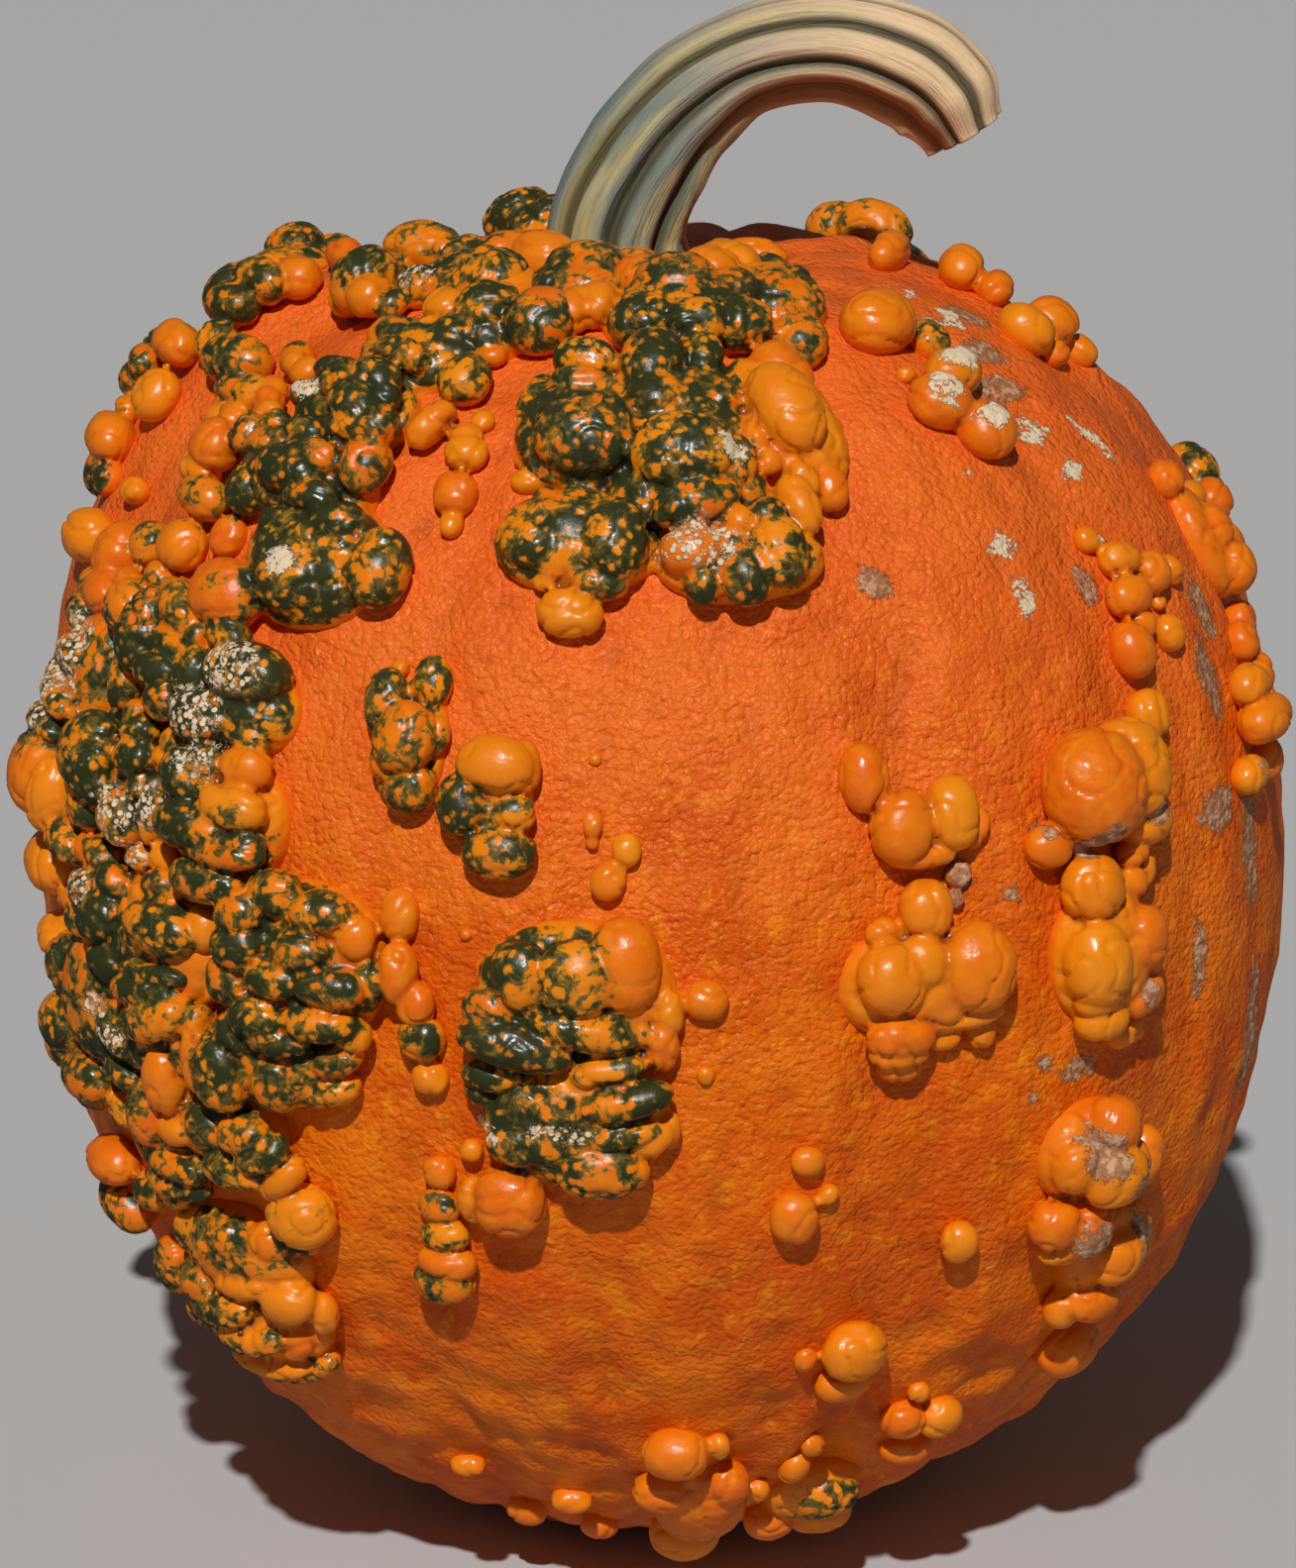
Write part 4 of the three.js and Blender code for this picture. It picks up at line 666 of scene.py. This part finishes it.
def wart_guides(piece, lobes):
    """Values at the vertices that the warts' material is mixed by."""
    mesh = piece.data
    points = points_of(mesh)
    turn, rise, distance = turn_and_rise(points)
    total = np.full(len(points), 1e-9)
    green = np.zeros(len(points))
    tone = np.full(len(points), 0.5e-9)
    for lobe in lobes:
        reach = 2.5 * lobe.half.max()
        near = np.flatnonzero((np.abs(points - lobe.centre) < reach).all(axis=1))
        weight = np.exp(-7 * lobe.measure(points[near]))
        total[near] += weight
        green[near] += weight * lobe.green
        tone[near] += weight * lobe.tone
    proud = distance - skin_radius(turn, rise)
    store(mesh, "green", smooth_step(proud, 0.5, 4.5) * green / total)
    store(mesh, "tone", tone / total)
    store(mesh, "base", 1 - smooth_step(proud, 0, 2))
    # Painted shade: how deep each point lies in a crease, which the warts' material darkens
    store(mesh, "painted_crease_shade", smooth_step(hollows(mesh, points, 4), 0.05, 0.5))
    store_marks(mesh, turn, rise)


def finish_fruit_piece(piece, material):
    piece.data.shade_smooth()
    piece.data.materials.append(material)
    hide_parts("fruit")
    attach(piece, "root")


def lobes_between(lobes, first, last):
    return [lobe for lobe in lobes if first <= (lobe.turn - FIRST_TURN) % 360 + FIRST_TURN < last]


def warts():
    lobes, heaps = grow_lobes()
    material = wart_material()
    for name, first, last in WART_PIECES:
        chosen = lobes_between(lobes, first, last)
        piece = lobe_shells(name, lobes_between(heaps, first, last) + chosen)
        grow_together(piece)
        fold_warts(piece)
        thin_out(piece, WART_FACES)
        wart_guides(piece, chosen)
        finish_fruit_piece(piece, material)


def rind():
    bm = bmesh.new()
    bmesh.ops.create_cube(bm, size=2)
    bmesh.ops.subdivide_edges(bm, edges=bm.edges, cuts=RIND_CUTS, use_grid_fill=True)
    mesh = mesh_of(bm, "rind")
    corners = points_of(mesh) * MM
    directions = np.tan(corners * math.pi / 4)
    turn = np.degrees(np.arctan2(directions[:, 0], -directions[:, 1]))
    rise = np.degrees(np.arctan2(directions[:, 2], np.hypot(directions[:, 0], directions[:, 1])))
    points = skin_point(turn, rise)
    set_points(mesh, points)
    low_down = smooth_step(-points[:, 2], -BELLY_Z, -40)
    lumps = 0
    for size, high, added, seed in LUMPS:
        lumps = lumps + noise_field(points, size, seed) * (high + added * low_down)
    lumps += UNDULATION_DEPTH * noise_field(points * np.array([1, 1, 0.2]), UNDULATION_SIZE, 8)
    points += normals_of(mesh) * lumps[:, None]
    points[:, 2] = np.maximum(points[:, 2], 0)
    set_points(mesh, points)
    # Painted shade: how deep each point lies in a hollow, which the rind's material darkens
    store(mesh, "painted_crease_shade", smooth_step(hollows(mesh, points, 3), 0, 0.2))
    store_marks(mesh, turn, rise)
    finish_fruit_piece(link("rind", mesh), rind_material())


def stem_line(share):
    """A point on the stem's middle line, and the way that the line runs there, in millimetres."""
    last = len(STEM_LINE) - 1
    at = min(share, 0.9999) * last
    i = int(at)
    t = at - i
    line = [Vector(p) for p in STEM_LINE]
    before = line[i - 1] if i > 0 else 2 * line[0] - line[1]
    after = line[i + 2] if i + 2 <= last else 2 * line[last] - line[last - 1]
    a, b = line[i], line[i + 1]
    bend = 2 * before - 5 * a + 4 * b - after
    twist = 3 * a - before - 3 * b + after
    point = a + 0.5 * t * ((b - before) + t * (bend + t * twist))
    ahead = 0.5 * ((b - before) + 2 * t * bend + 3 * t * t * twist)
    return point, ahead.normalized()


def stem_radius(share):
    at = share * (len(STEM_RADII) - 1)
    i = min(int(at), len(STEM_RADII) - 2)
    t = at - i
    t = t * t * (3 - 2 * t)
    return STEM_RADII[i] + (STEM_RADII[i + 1] - STEM_RADII[i]) * t


def stem_ridge(round_angle, share):
    """The stem's radius over its mean one: broad ridges, narrow grooves and a channel on its under side."""
    wave = abs(math.sin(STEM_RIDGES * (round_angle + STEM_TURN + STEM_TWIST * share) / 2))
    groove = (1 - wave) ** GROOVE_SHARPNESS
    away = math.remainder(round_angle - CHANNEL_AT, 2 * math.pi)
    opening = min(1, max(0, (share - 0.3) / 0.3))
    channel = CHANNEL_DEPTH * opening * math.exp(-((away / CHANNEL_WIDTH) ** 2))
    return RIDGE_TOP - GROOVE_DEPTH * groove - channel, groove, channel / CHANNEL_DEPTH


def stem():
    bm = bmesh.new()
    bmesh.ops.create_cone(bm, cap_ends=True, segments=STEM_AROUND, radius1=1, radius2=1, depth=1)
    long_edges = [e for e in bm.edges if abs(e.verts[0].co.z - e.verts[1].co.z) > 0.5]
    bmesh.ops.subdivide_edges(bm, edges=long_edges, cuts=STEM_STEPS)
    tip = [f for f in bm.faces if f.normal.z > 0.5]
    for thickness, depth in CUT_END:
        bmesh.ops.inset_individual(bm, faces=tip, thickness=thickness, depth=depth)
    bmesh.ops.poke(bm, faces=tip)
    course = bm.verts.layers.float_vector.new("course")
    guides = {name: bm.verts.layers.float.new(name) for name in ("groove", "channel", "along", "cut")}
    side = Vector((0, -1, 0))
    for vertex in bm.verts:
        size = math.hypot(vertex.co.x, vertex.co.y)
        share = vertex.co.z + 0.5
        round_angle = math.atan2(vertex.co.y, vertex.co.x)
        point, ahead = stem_line(share)
        out = side.cross(ahead).normalized()
        ridge, groove, channel = stem_ridge(round_angle, share)
        turned = round_angle + STEM_TWIST * share
        rough = 1 + 0.03 * noise.noise(Vector((3 * math.cos(turned), 3 * math.sin(turned), 5 * share)))
        rough += 0.02 * noise.noise(Vector((9 * math.cos(turned), 9 * math.sin(turned), 14 * share)))
        r = stem_radius(share) * (1 + (ridge - 1) * min(size, 1)) * size * rough
        vertex[course] = Vector((math.cos(turned), math.sin(turned), share))
        vertex[guides["groove"]] = groove
        vertex[guides["channel"]] = channel
        vertex[guides["along"]] = share
        vertex[guides["cut"]] = 1 if size < 0.98 else 0
        vertex.co = (point + out * (r * math.cos(round_angle)) + side * (r * math.sin(round_angle))) * MM
    bmesh.ops.recalc_face_normals(bm, faces=bm.faces)
    piece = link("squash_stem", mesh_of(bm, "squash_stem"))
    piece.data.shade_smooth()
    piece.data.materials.append(stem_material())
    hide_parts("stem")
    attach(piece, "root")


def node(tree, kind, values=None, **settings):
    made = tree.nodes.new(kind)
    for name, value in settings.items():
        setattr(made, name, value)
    for name, value in (values or {}).items():
        made.inputs[name].default_value = value
    return made


def join(tree, source, target):
    tree.links.new(source, target)


def guide(tree, name):
    """The value of one of the piece's own attributes."""
    return node(tree, "ShaderNodeAttribute", attribute_name=name).outputs["Fac"]


def sum_of(tree, operation, *values, clamp=False):
    made = node(tree, "ShaderNodeMath", operation=operation, use_clamp=clamp)
    for socket, value in zip(made.inputs, values):
        if isinstance(value, (int, float)):
            socket.default_value = value
        else:
            join(tree, value, socket)
    return made.outputs[0]


def ramp(tree, value, low, high, to_low=0, to_high=1):
    made = node(tree, "ShaderNodeMapRange", interpolation_type="SMOOTHSTEP")
    join(tree, value, made.inputs["Value"])
    for name, end in (("From Min", low), ("From Max", high), ("To Min", to_low), ("To Max", to_high)):
        made.inputs[name].default_value = end
    return made.outputs["Result"]


def mix(tree, share, a, b, blend="MIX"):
    """One colour over another by a share."""
    made = node(tree, "ShaderNodeMix", data_type="RGBA", blend_type=blend)
    for socket, value in ((made.inputs[0], share), (made.inputs[6], a), (made.inputs[7], b)):
        if isinstance(value, (int, float)):
            socket.default_value = value
        elif isinstance(value, tuple):
            socket.default_value = (*value, 1)
        else:
            join(tree, value, socket)
    return made.outputs[2]


def stretched(tree, vector, along_z):
    """A vector with its third part scaled."""
    made = node(tree, "ShaderNodeMapping", {"Scale": (1, 1, along_z)})
    join(tree, vector, made.inputs["Vector"])
    return made.outputs["Vector"]


def noise_at(tree, vector, scale, detail=3, roughness=0.5, distortion=0):
    made = node(tree, "ShaderNodeTexNoise", {
        "Scale": scale, "Detail": detail, "Roughness": roughness, "Distortion": distortion,
    })
    join(tree, vector, made.inputs["Vector"])
    return made.outputs["Fac"]


def moved_by(tree, vector, way, far):
    """A vector moved along another one, by a share of it."""
    scaled = node(tree, "ShaderNodeVectorMath", operation="SCALE")
    join(tree, way, scaled.inputs[0])
    if isinstance(far, float):
        scaled.inputs["Scale"].default_value = far
    else:
        join(tree, far, scaled.inputs["Scale"])
    moved = node(tree, "ShaderNodeVectorMath", operation="ADD")
    join(tree, vector, moved.inputs[0])
    join(tree, scaled.outputs["Vector"], moved.inputs[1])
    return moved.outputs["Vector"]


def new_group(name, inputs, output):
    group = bpy.data.node_groups.new(name, "ShaderNodeTree")
    for label, kind, value in inputs:
        socket = group.interface.new_socket(label, in_out="INPUT", socket_type=kind)
        if value is not None:
            socket.default_value = value
    group.interface.new_socket(output, in_out="OUTPUT", socket_type="NodeSocketFloat")
    return group, node(group, "NodeGroupInput"), node(group, "NodeGroupOutput")


def blotches_group():
    """Ragged patches that cover a share of the surface."""
    group, given, result = new_group("blotches", [
        ("Vector", "NodeSocketVector", None),
        ("Scale", "NodeSocketFloat", 100),
        ("Share", "NodeSocketFloat", 0.5),
        ("Softness", "NodeSocketFloat", 0.03),
        ("Lace", "NodeSocketFloat", 0.4),
    ], "Mask")
    broad = node(group, "ShaderNodeTexNoise", {"Detail": 5, "Roughness": 0.62, "Distortion": 0.5})
    fine = node(group, "ShaderNodeTexNoise", {"Detail": 3, "Roughness": 0.65, "Distortion": 0.8})
    for made in (broad, fine):
        join(group, given.outputs["Vector"], made.inputs["Vector"])
    join(group, given.outputs["Scale"], broad.inputs["Scale"])
    join(group, sum_of(group, "MULTIPLY", given.outputs["Scale"], 4.3), fine.inputs["Scale"])
    centred = sum_of(group, "SUBTRACT", fine.outputs["Fac"], 0.5)
    lace = sum_of(group, "MULTIPLY", given.outputs["Lace"], centred)
    height = sum_of(group, "ADD", broad.outputs["Fac"], lace)
    level = sum_of(group, "MULTIPLY_ADD", given.outputs["Share"], 0.5, -0.75)
    present = ramp(group, given.outputs["Share"], 0, 0.15, -0.4, 0)
    over = sum_of(group, "ADD", sum_of(group, "ADD", height, level), present)
    sharp = sum_of(group, "DIVIDE", over, given.outputs["Softness"])
    join(group, sum_of(group, "ADD", sharp, 0.5, clamp=True), result.inputs["Mask"])


def marbling_group():
    """Depth of the green, above 0 where it covers: islands of all sizes, with round spots left bare."""
    group, given, result = new_group("marbling", [
        ("Vector", "NodeSocketVector", None),
        ("Scale", "NodeSocketFloat", 150),
        ("Share", "NodeSocketFloat", 0.5),
    ], "Depth")
    islands = node(group, "ShaderNodeTexNoise", {"Detail": 5, "Roughness": 0.66, "Distortion": 0.5})
    join(group, given.outputs["Vector"], islands.inputs["Vector"])
    join(group, given.outputs["Scale"], islands.inputs["Scale"])
    broad = node(group, "ShaderNodeTexNoise", {"Detail": 1})
    join(group, given.outputs["Vector"], broad.inputs["Vector"])
    join(group, sum_of(group, "MULTIPLY", given.outputs["Scale"], 0.4), broad.inputs["Scale"])
    crowding = sum_of(group, "MULTIPLY_ADD", broad.outputs["Fac"], 0.6, -0.3)
    moved = moved_by(group, given.outputs["Vector"], islands.outputs["Color"], SPOT_WINDING)
    spots = node(group, "ShaderNodeTexVoronoi")
    join(group, moved, spots.inputs["Vector"])
    join(group, sum_of(group, "MULTIPLY", given.outputs["Scale"], 1.5), spots.inputs["Scale"])
    spot = ramp(group, spots.outputs["Distance"], 0.1, 0.55, -0.18, 0.06)
    present = ramp(group, given.outputs["Share"], 0.08, 0.3, -0.3, 0)
    level = sum_of(group, "MULTIPLY_ADD", given.outputs["Share"], 0.22, -0.615)
    over = sum_of(group, "ADD", sum_of(group, "ADD", islands.outputs["Fac"], crowding), level)
    join(group, sum_of(group, "ADD", sum_of(group, "ADD", over, present), spot), result.inputs["Depth"])


def wrinkle_group():
    """Fine leathery cells with sharp valleys between them."""
    group, given, result = new_group("fine_wrinkles", [
        ("Vector", "NodeSocketVector", None),
        ("Scale", "NodeSocketFloat", 600),
        ("Winding", "NodeSocketFloat", 0.001),
    ], "Height")
    wander = node(group, "ShaderNodeTexNoise", {"Detail": 2})
    join(group, given.outputs["Vector"], wander.inputs["Vector"])
    join(group, sum_of(group, "MULTIPLY", given.outputs["Scale"], 0.6), wander.inputs["Scale"])
    centred = node(group, "ShaderNodeVectorMath", operation="SUBTRACT")
    join(group, wander.outputs["Color"], centred.inputs[0])
    centred.inputs[1].default_value = (0.5, 0.5, 0.5)
    moved = moved_by(group, given.outputs["Vector"], centred.outputs["Vector"], given.outputs["Winding"])
    cells = node(group, "ShaderNodeTexVoronoi", feature="F1")
    join(group, moved, cells.inputs["Vector"])
    join(group, given.outputs["Scale"], cells.inputs["Scale"])
    rounded = sum_of(group, "MULTIPLY", cells.outputs["Distance"], cells.outputs["Distance"])
    join(group, sum_of(group, "SUBTRACT", 1, rounded), result.inputs["Height"])


def place_group(tree, group, vector, **values):
    made = node(tree, "ShaderNodeGroup")
    made.node_tree = group
    join(tree, vector, made.inputs["Vector"])
    for name, value in values.items():
        if isinstance(value, (int, float)):
            made.inputs[name].default_value = value
        else:
            join(tree, value, made.inputs[name])
    return made.outputs[0]


def new_material(name):
    material = bpy.data.materials.new(name)
    material.use_nodes = True
    tree = material.node_tree
    tree.nodes.clear()
    shader = node(tree, "ShaderNodeBsdfPrincipled")
    output = node(tree, "ShaderNodeOutputMaterial")
    join(tree, shader.outputs["BSDF"], output.inputs["Surface"])
    return material, tree, shader


def bumped(tree, shader, height, distance):
    bump = node(tree, "ShaderNodeBump", {"Strength": 1, "Distance": distance})
    join(tree, height, bump.inputs["Height"])
    join(tree, bump.outputs["Normal"], shader.inputs["Normal"])


def marked(tree, here, colour):
    """Grey-brown scars, cream cork and white specks over a colour, and the share that they cover."""
    blotches = bpy.data.node_groups["blotches"]
    scar = place_group(tree, blotches, here, Scale=160, Share=guide(tree, "scar"), Softness=0.1, Lace=1.3)
    scar_tone = mix(tree, ramp(tree, noise_at(tree, here, 480, 3, 0.6), 0.45, 0.62), SCAR, SCAR_PALE)
    colour = mix(tree, sum_of(tree, "MULTIPLY", scar, 0.85), colour, scar_tone)
    cork_share = sum_of(tree, "MULTIPLY", guide(tree, "cork"), 0.75)
    cork = place_group(tree, blotches, here, Scale=260, Share=cork_share, Softness=0.05, Lace=0.8)
    crust_share = sum_of(tree, "MULTIPLY", guide(tree, "speck"), 0.36)
    crust = place_group(tree, blotches, here, Scale=420, Share=crust_share, Softness=0.06, Lace=0.8)
    dots = node(tree, "ShaderNodeTexVoronoi", {"Scale": 640})
    join(tree, here, dots.inputs["Vector"])
    near_dot = ramp(tree, dots.outputs["Distance"], 0.5, 0.35)
    chosen = sum_of(tree, "MULTIPLY", noise_at(tree, here, 130, 2), guide(tree, "speck"))
    speck = sum_of(tree, "MULTIPLY", near_dot, ramp(tree, chosen, 0.24, 0.38))
    pale = sum_of(tree, "MAXIMUM", sum_of(tree, "MAXIMUM", cork, speck), crust)
    return mix(tree, pale, colour, CORK), sum_of(tree, "MAXIMUM", pale, scar)


def rind_material():
    material, tree, shader = new_material("rind")
    here = node(tree, "ShaderNodeTexCoord").outputs["Object"]
    height = node(tree, "ShaderNodeSeparateXYZ")
    join(tree, here, height.inputs[0])
    folds = noise_at(tree, stretched(tree, here, 1.3), 300, 4, 0.62, 0.5)
    cells = place_group(tree, bpy.data.node_groups["fine_wrinkles"], here, Scale=700, Winding=0.002)
    broad = noise_at(tree, here, 45, 4, 0.55)
    mottle = noise_at(tree, here, 170, 3, 0.6, 0.6)
    colour = mix(tree, ramp(tree, broad, 0.35, 0.65), SKIN_DEEP, SKIN)
    colour = mix(tree, ramp(tree, mottle, 0.54, 0.68, 0, 0.6), colour, SKIN_FLECK)
    # Darker in the hollows of the folds' bump and paler on their crests: painted shade and painted highlight
    colour = mix(tree, ramp(tree, folds, 0.5, 0.3, 0, 0.45), colour, SKIN_DEEP)
    colour = mix(tree, ramp(tree, folds, 0.54, 0.7, 0, 0.45), colour, SKIN_FLECK)
    # The upper skin turns redder: partly its own tone, partly a painted sheen
    blush_and_sheen = ramp(tree, sum_of(tree, "MULTIPLY_ADD", broad, 0.12, height.outputs["Z"]), 0.2, 0.31, 0, 0.7)
    colour = mix(tree, blush_and_sheen, colour, SKIN_BLUSH_AND_SHEEN)
    # Painted shade darkening the rind's hollows
    colour = mix(tree, sum_of(tree, "MULTIPLY", guide(tree, "painted_crease_shade"), 0.35), colour, RIND_CREASE_SHADE)
    colour, dull = marked(tree, here, colour)
    join(tree, colour, shader.inputs["Base Color"])

    gloss = ramp(tree, noise_at(tree, here, 90, 3), 0.3, 0.7, 0.32, 0.44)
    join(tree, sum_of(tree, "MULTIPLY_ADD", dull, 0.35, gloss), shader.inputs["Roughness"])
    shader.inputs["Specular IOR Level"].default_value = 0.28
    shader.inputs["Specular Tint"].default_value = (1, 0.72, 0.5, 1)

    relief = sum_of(tree, "MULTIPLY_ADD", cells, 0.45, folds)
    relief = sum_of(tree, "MULTIPLY", relief, ramp(tree, height.outputs["Z"], 0.04, 0.24, 0.6, 1))
    relief = sum_of(tree, "MULTIPLY_ADD", dull, 0.4, relief)
    bumped(tree, shader, relief, SKIN_RELIEF * MM)
    return material


def wart_material():
    material, tree, shader = new_material("warts")
    here = node(tree, "ShaderNodeTexCoord").outputs["Object"]
    painted_crease_shade = guide(tree, "painted_crease_shade")
    colour = mix(tree, guide(tree, "tone"), WART_DEEP, WART_LIGHT)
    colour = mix(tree, ramp(tree, noise_at(tree, here, 240, 3, 0.6), 0.4, 0.7, 0, 0.6), colour, WART_LIGHT)
    colour = mix(tree, guide(tree, "base"), colour, SKIN)
    depth = place_group(tree, bpy.data.node_groups["marbling"], here, Scale=260, Share=guide(tree, "green"))
    colour = mix(tree, ramp(tree, depth, -0.09, 0.01, 0, 0.65), colour, OLIVE)
    colour = mix(tree, ramp(tree, depth, -0.03, 0.04, 0, 0.85), colour, GREEN)
    colour = mix(tree, ramp(tree, depth, 0.04, 0.14), colour, GREEN_DEEP)
    # Painted shade multiplied into the creases between the lobes
    colour = mix(tree, painted_crease_shade, colour, CREASE_SHADE, "MULTIPLY")
    colour, dull = marked(tree, here, colour)
    join(tree, colour, shader.inputs["Base Color"])

    gloss = ramp(tree, noise_at(tree, here, 150, 3), 0.3, 0.7, 0.26, 0.38)
    join(tree, sum_of(tree, "MULTIPLY_ADD", dull, 0.45, gloss), shader.inputs["Roughness"])
    shader.inputs["Specular IOR Level"].default_value = 0.4

    grain = noise_at(tree, here, 500, 3, 0.6)
    relief = sum_of(tree, "MULTIPLY", grain, sum_of(tree, "MULTIPLY_ADD", dull, 2, 0.5))
    bumped(tree, shader, relief, WART_RELIEF * MM)
    return material


def stem_material():
    material, tree, shader = new_material("stem")
    course = node(tree, "ShaderNodeAttribute", attribute_name="course").outputs["Vector"]
    streaks = stretched(tree, course, 0.9)
    along, groove, channel = guide(tree, "along"), guide(tree, "groove"), guide(tree, "channel")
    streak = noise_at(tree, streaks, 3.2, 5, 0.65, 0.3)
    patch = noise_at(tree, streaks, 1.6, 4, 0.6, 0.4)
    base = mix(tree, ramp(tree, streak, 0.38, 0.62), STEM_STRAW, STEM_GREY)
    base = mix(tree, ramp(tree, patch, 0.46, 0.58, 0, 0.8), base, STEM_BLUE)
    dry = ramp(tree, sum_of(tree, "ADD", along, sum_of(tree, "MULTIPLY", patch, 0.3)), 0.55, 0.95)
    base = mix(tree, dry, base, STEM_PALE)
    # Painted shade darkening the grooves
    base = mix(tree, ramp(tree, groove, 0.05, 0.6, 0, 0.9), base, STEM_GROOVE_SHADE)
    # Painted shade and painted reflected orange light along the channel on the under side
    base = mix(tree, ramp(tree, channel, 0.2, 0.7, 0, 0.9), base, STEM_CUT_AND_PAINTED_UNDERSIDE)
    # The cut end's own brown
    base = mix(tree, guide(tree, "cut"), base, STEM_CUT_AND_PAINTED_UNDERSIDE)
    join(tree, base, shader.inputs["Base Color"])
    join(tree, ramp(tree, streak, 0.3, 0.7, 0.5, 0.7), shader.inputs["Roughness"])
    fine = noise_at(tree, stretched(tree, course, 0.35), 14, 4, 0.65, 0.2)
    bumped(tree, shader, sum_of(tree, "ADD", fine, streak), STEM_RELIEF * MM)
    return material


def floor_material():
    material, tree, shader = new_material("pale_floor")
    shader.inputs["Base Color"].default_value = (*FLOOR_GREY, 1)
    shader.inputs["Roughness"].default_value = 0.8
    return material


def floor():
    bm = bmesh.new()
    bmesh.ops.create_grid(bm, x_segments=1, y_segments=1, size=FLOOR_HALF)
    piece = link("floor", mesh_of(bm, "floor"))
    piece.data.materials.append(floor_material())
    piece.visible_glossy = False


def camera():
    """The photograph's own view of the middle of the belly."""
    middle = Vector((0, 0, BELLY_Z * MM))
    back = Vector((0, -math.cos(VIEW_RISE), math.sin(VIEW_RISE)))
    right = Vector((1, 0, 0))
    up = back.cross(right)
    off_right = (CENTRE_PX[0] - IMAGE_W / 2) / PX_PER_M
    off_down = (CENTRE_PX[1] - IMAGE_H / 2) / PX_PER_M
    aim = middle - right * off_right + up * off_down
    data = bpy.data.cameras.new("camera")
    data.sensor_width = SENSOR
    data.lens = PX_PER_M * VIEW_DISTANCE * SENSOR / IMAGE_H
    placed = link("camera", data)
    placed.location = middle + back * VIEW_DISTANCE
    placed.rotation_euler = (placed.location - aim).to_track_quat("Z", "Y").to_euler()
    bpy.context.scene.camera = placed


def light(name, kind, way, power):
    """A light that looks at the squash from a direction."""
    data = bpy.data.lights.new(name, kind)
    data.energy = power
    placed = link(name, data)
    direction = Vector(way).normalized()
    placed.location = Vector((0, 0, BELLY_Z * MM)) + direction * LIGHT_DISTANCE
    placed.rotation_euler = direction.to_track_quat("Z", "Y").to_euler()
    return data


def studio():
    light("key", "SUN", KEY_WAY, KEY_POWER).angle = math.radians(KEY_ANGLE)
    light("fill", "AREA", FILL_WAY, FILL_POWER).size = FILL_SIZE
    world = bpy.data.worlds.new("studio")
    world.use_nodes = True
    world.node_tree.nodes["Background"].inputs["Color"].default_value = (1, 1, 1, 1)
    world.node_tree.nodes["Background"].inputs["Strength"].default_value = SKY_POWER
    bpy.context.scene.world = world
    bpy.context.scene.view_settings.view_transform = "Standard"


camera()
blotches_group()
marbling_group()
wrinkle_group()
rind()
warts()
stem()
floor()
studio()
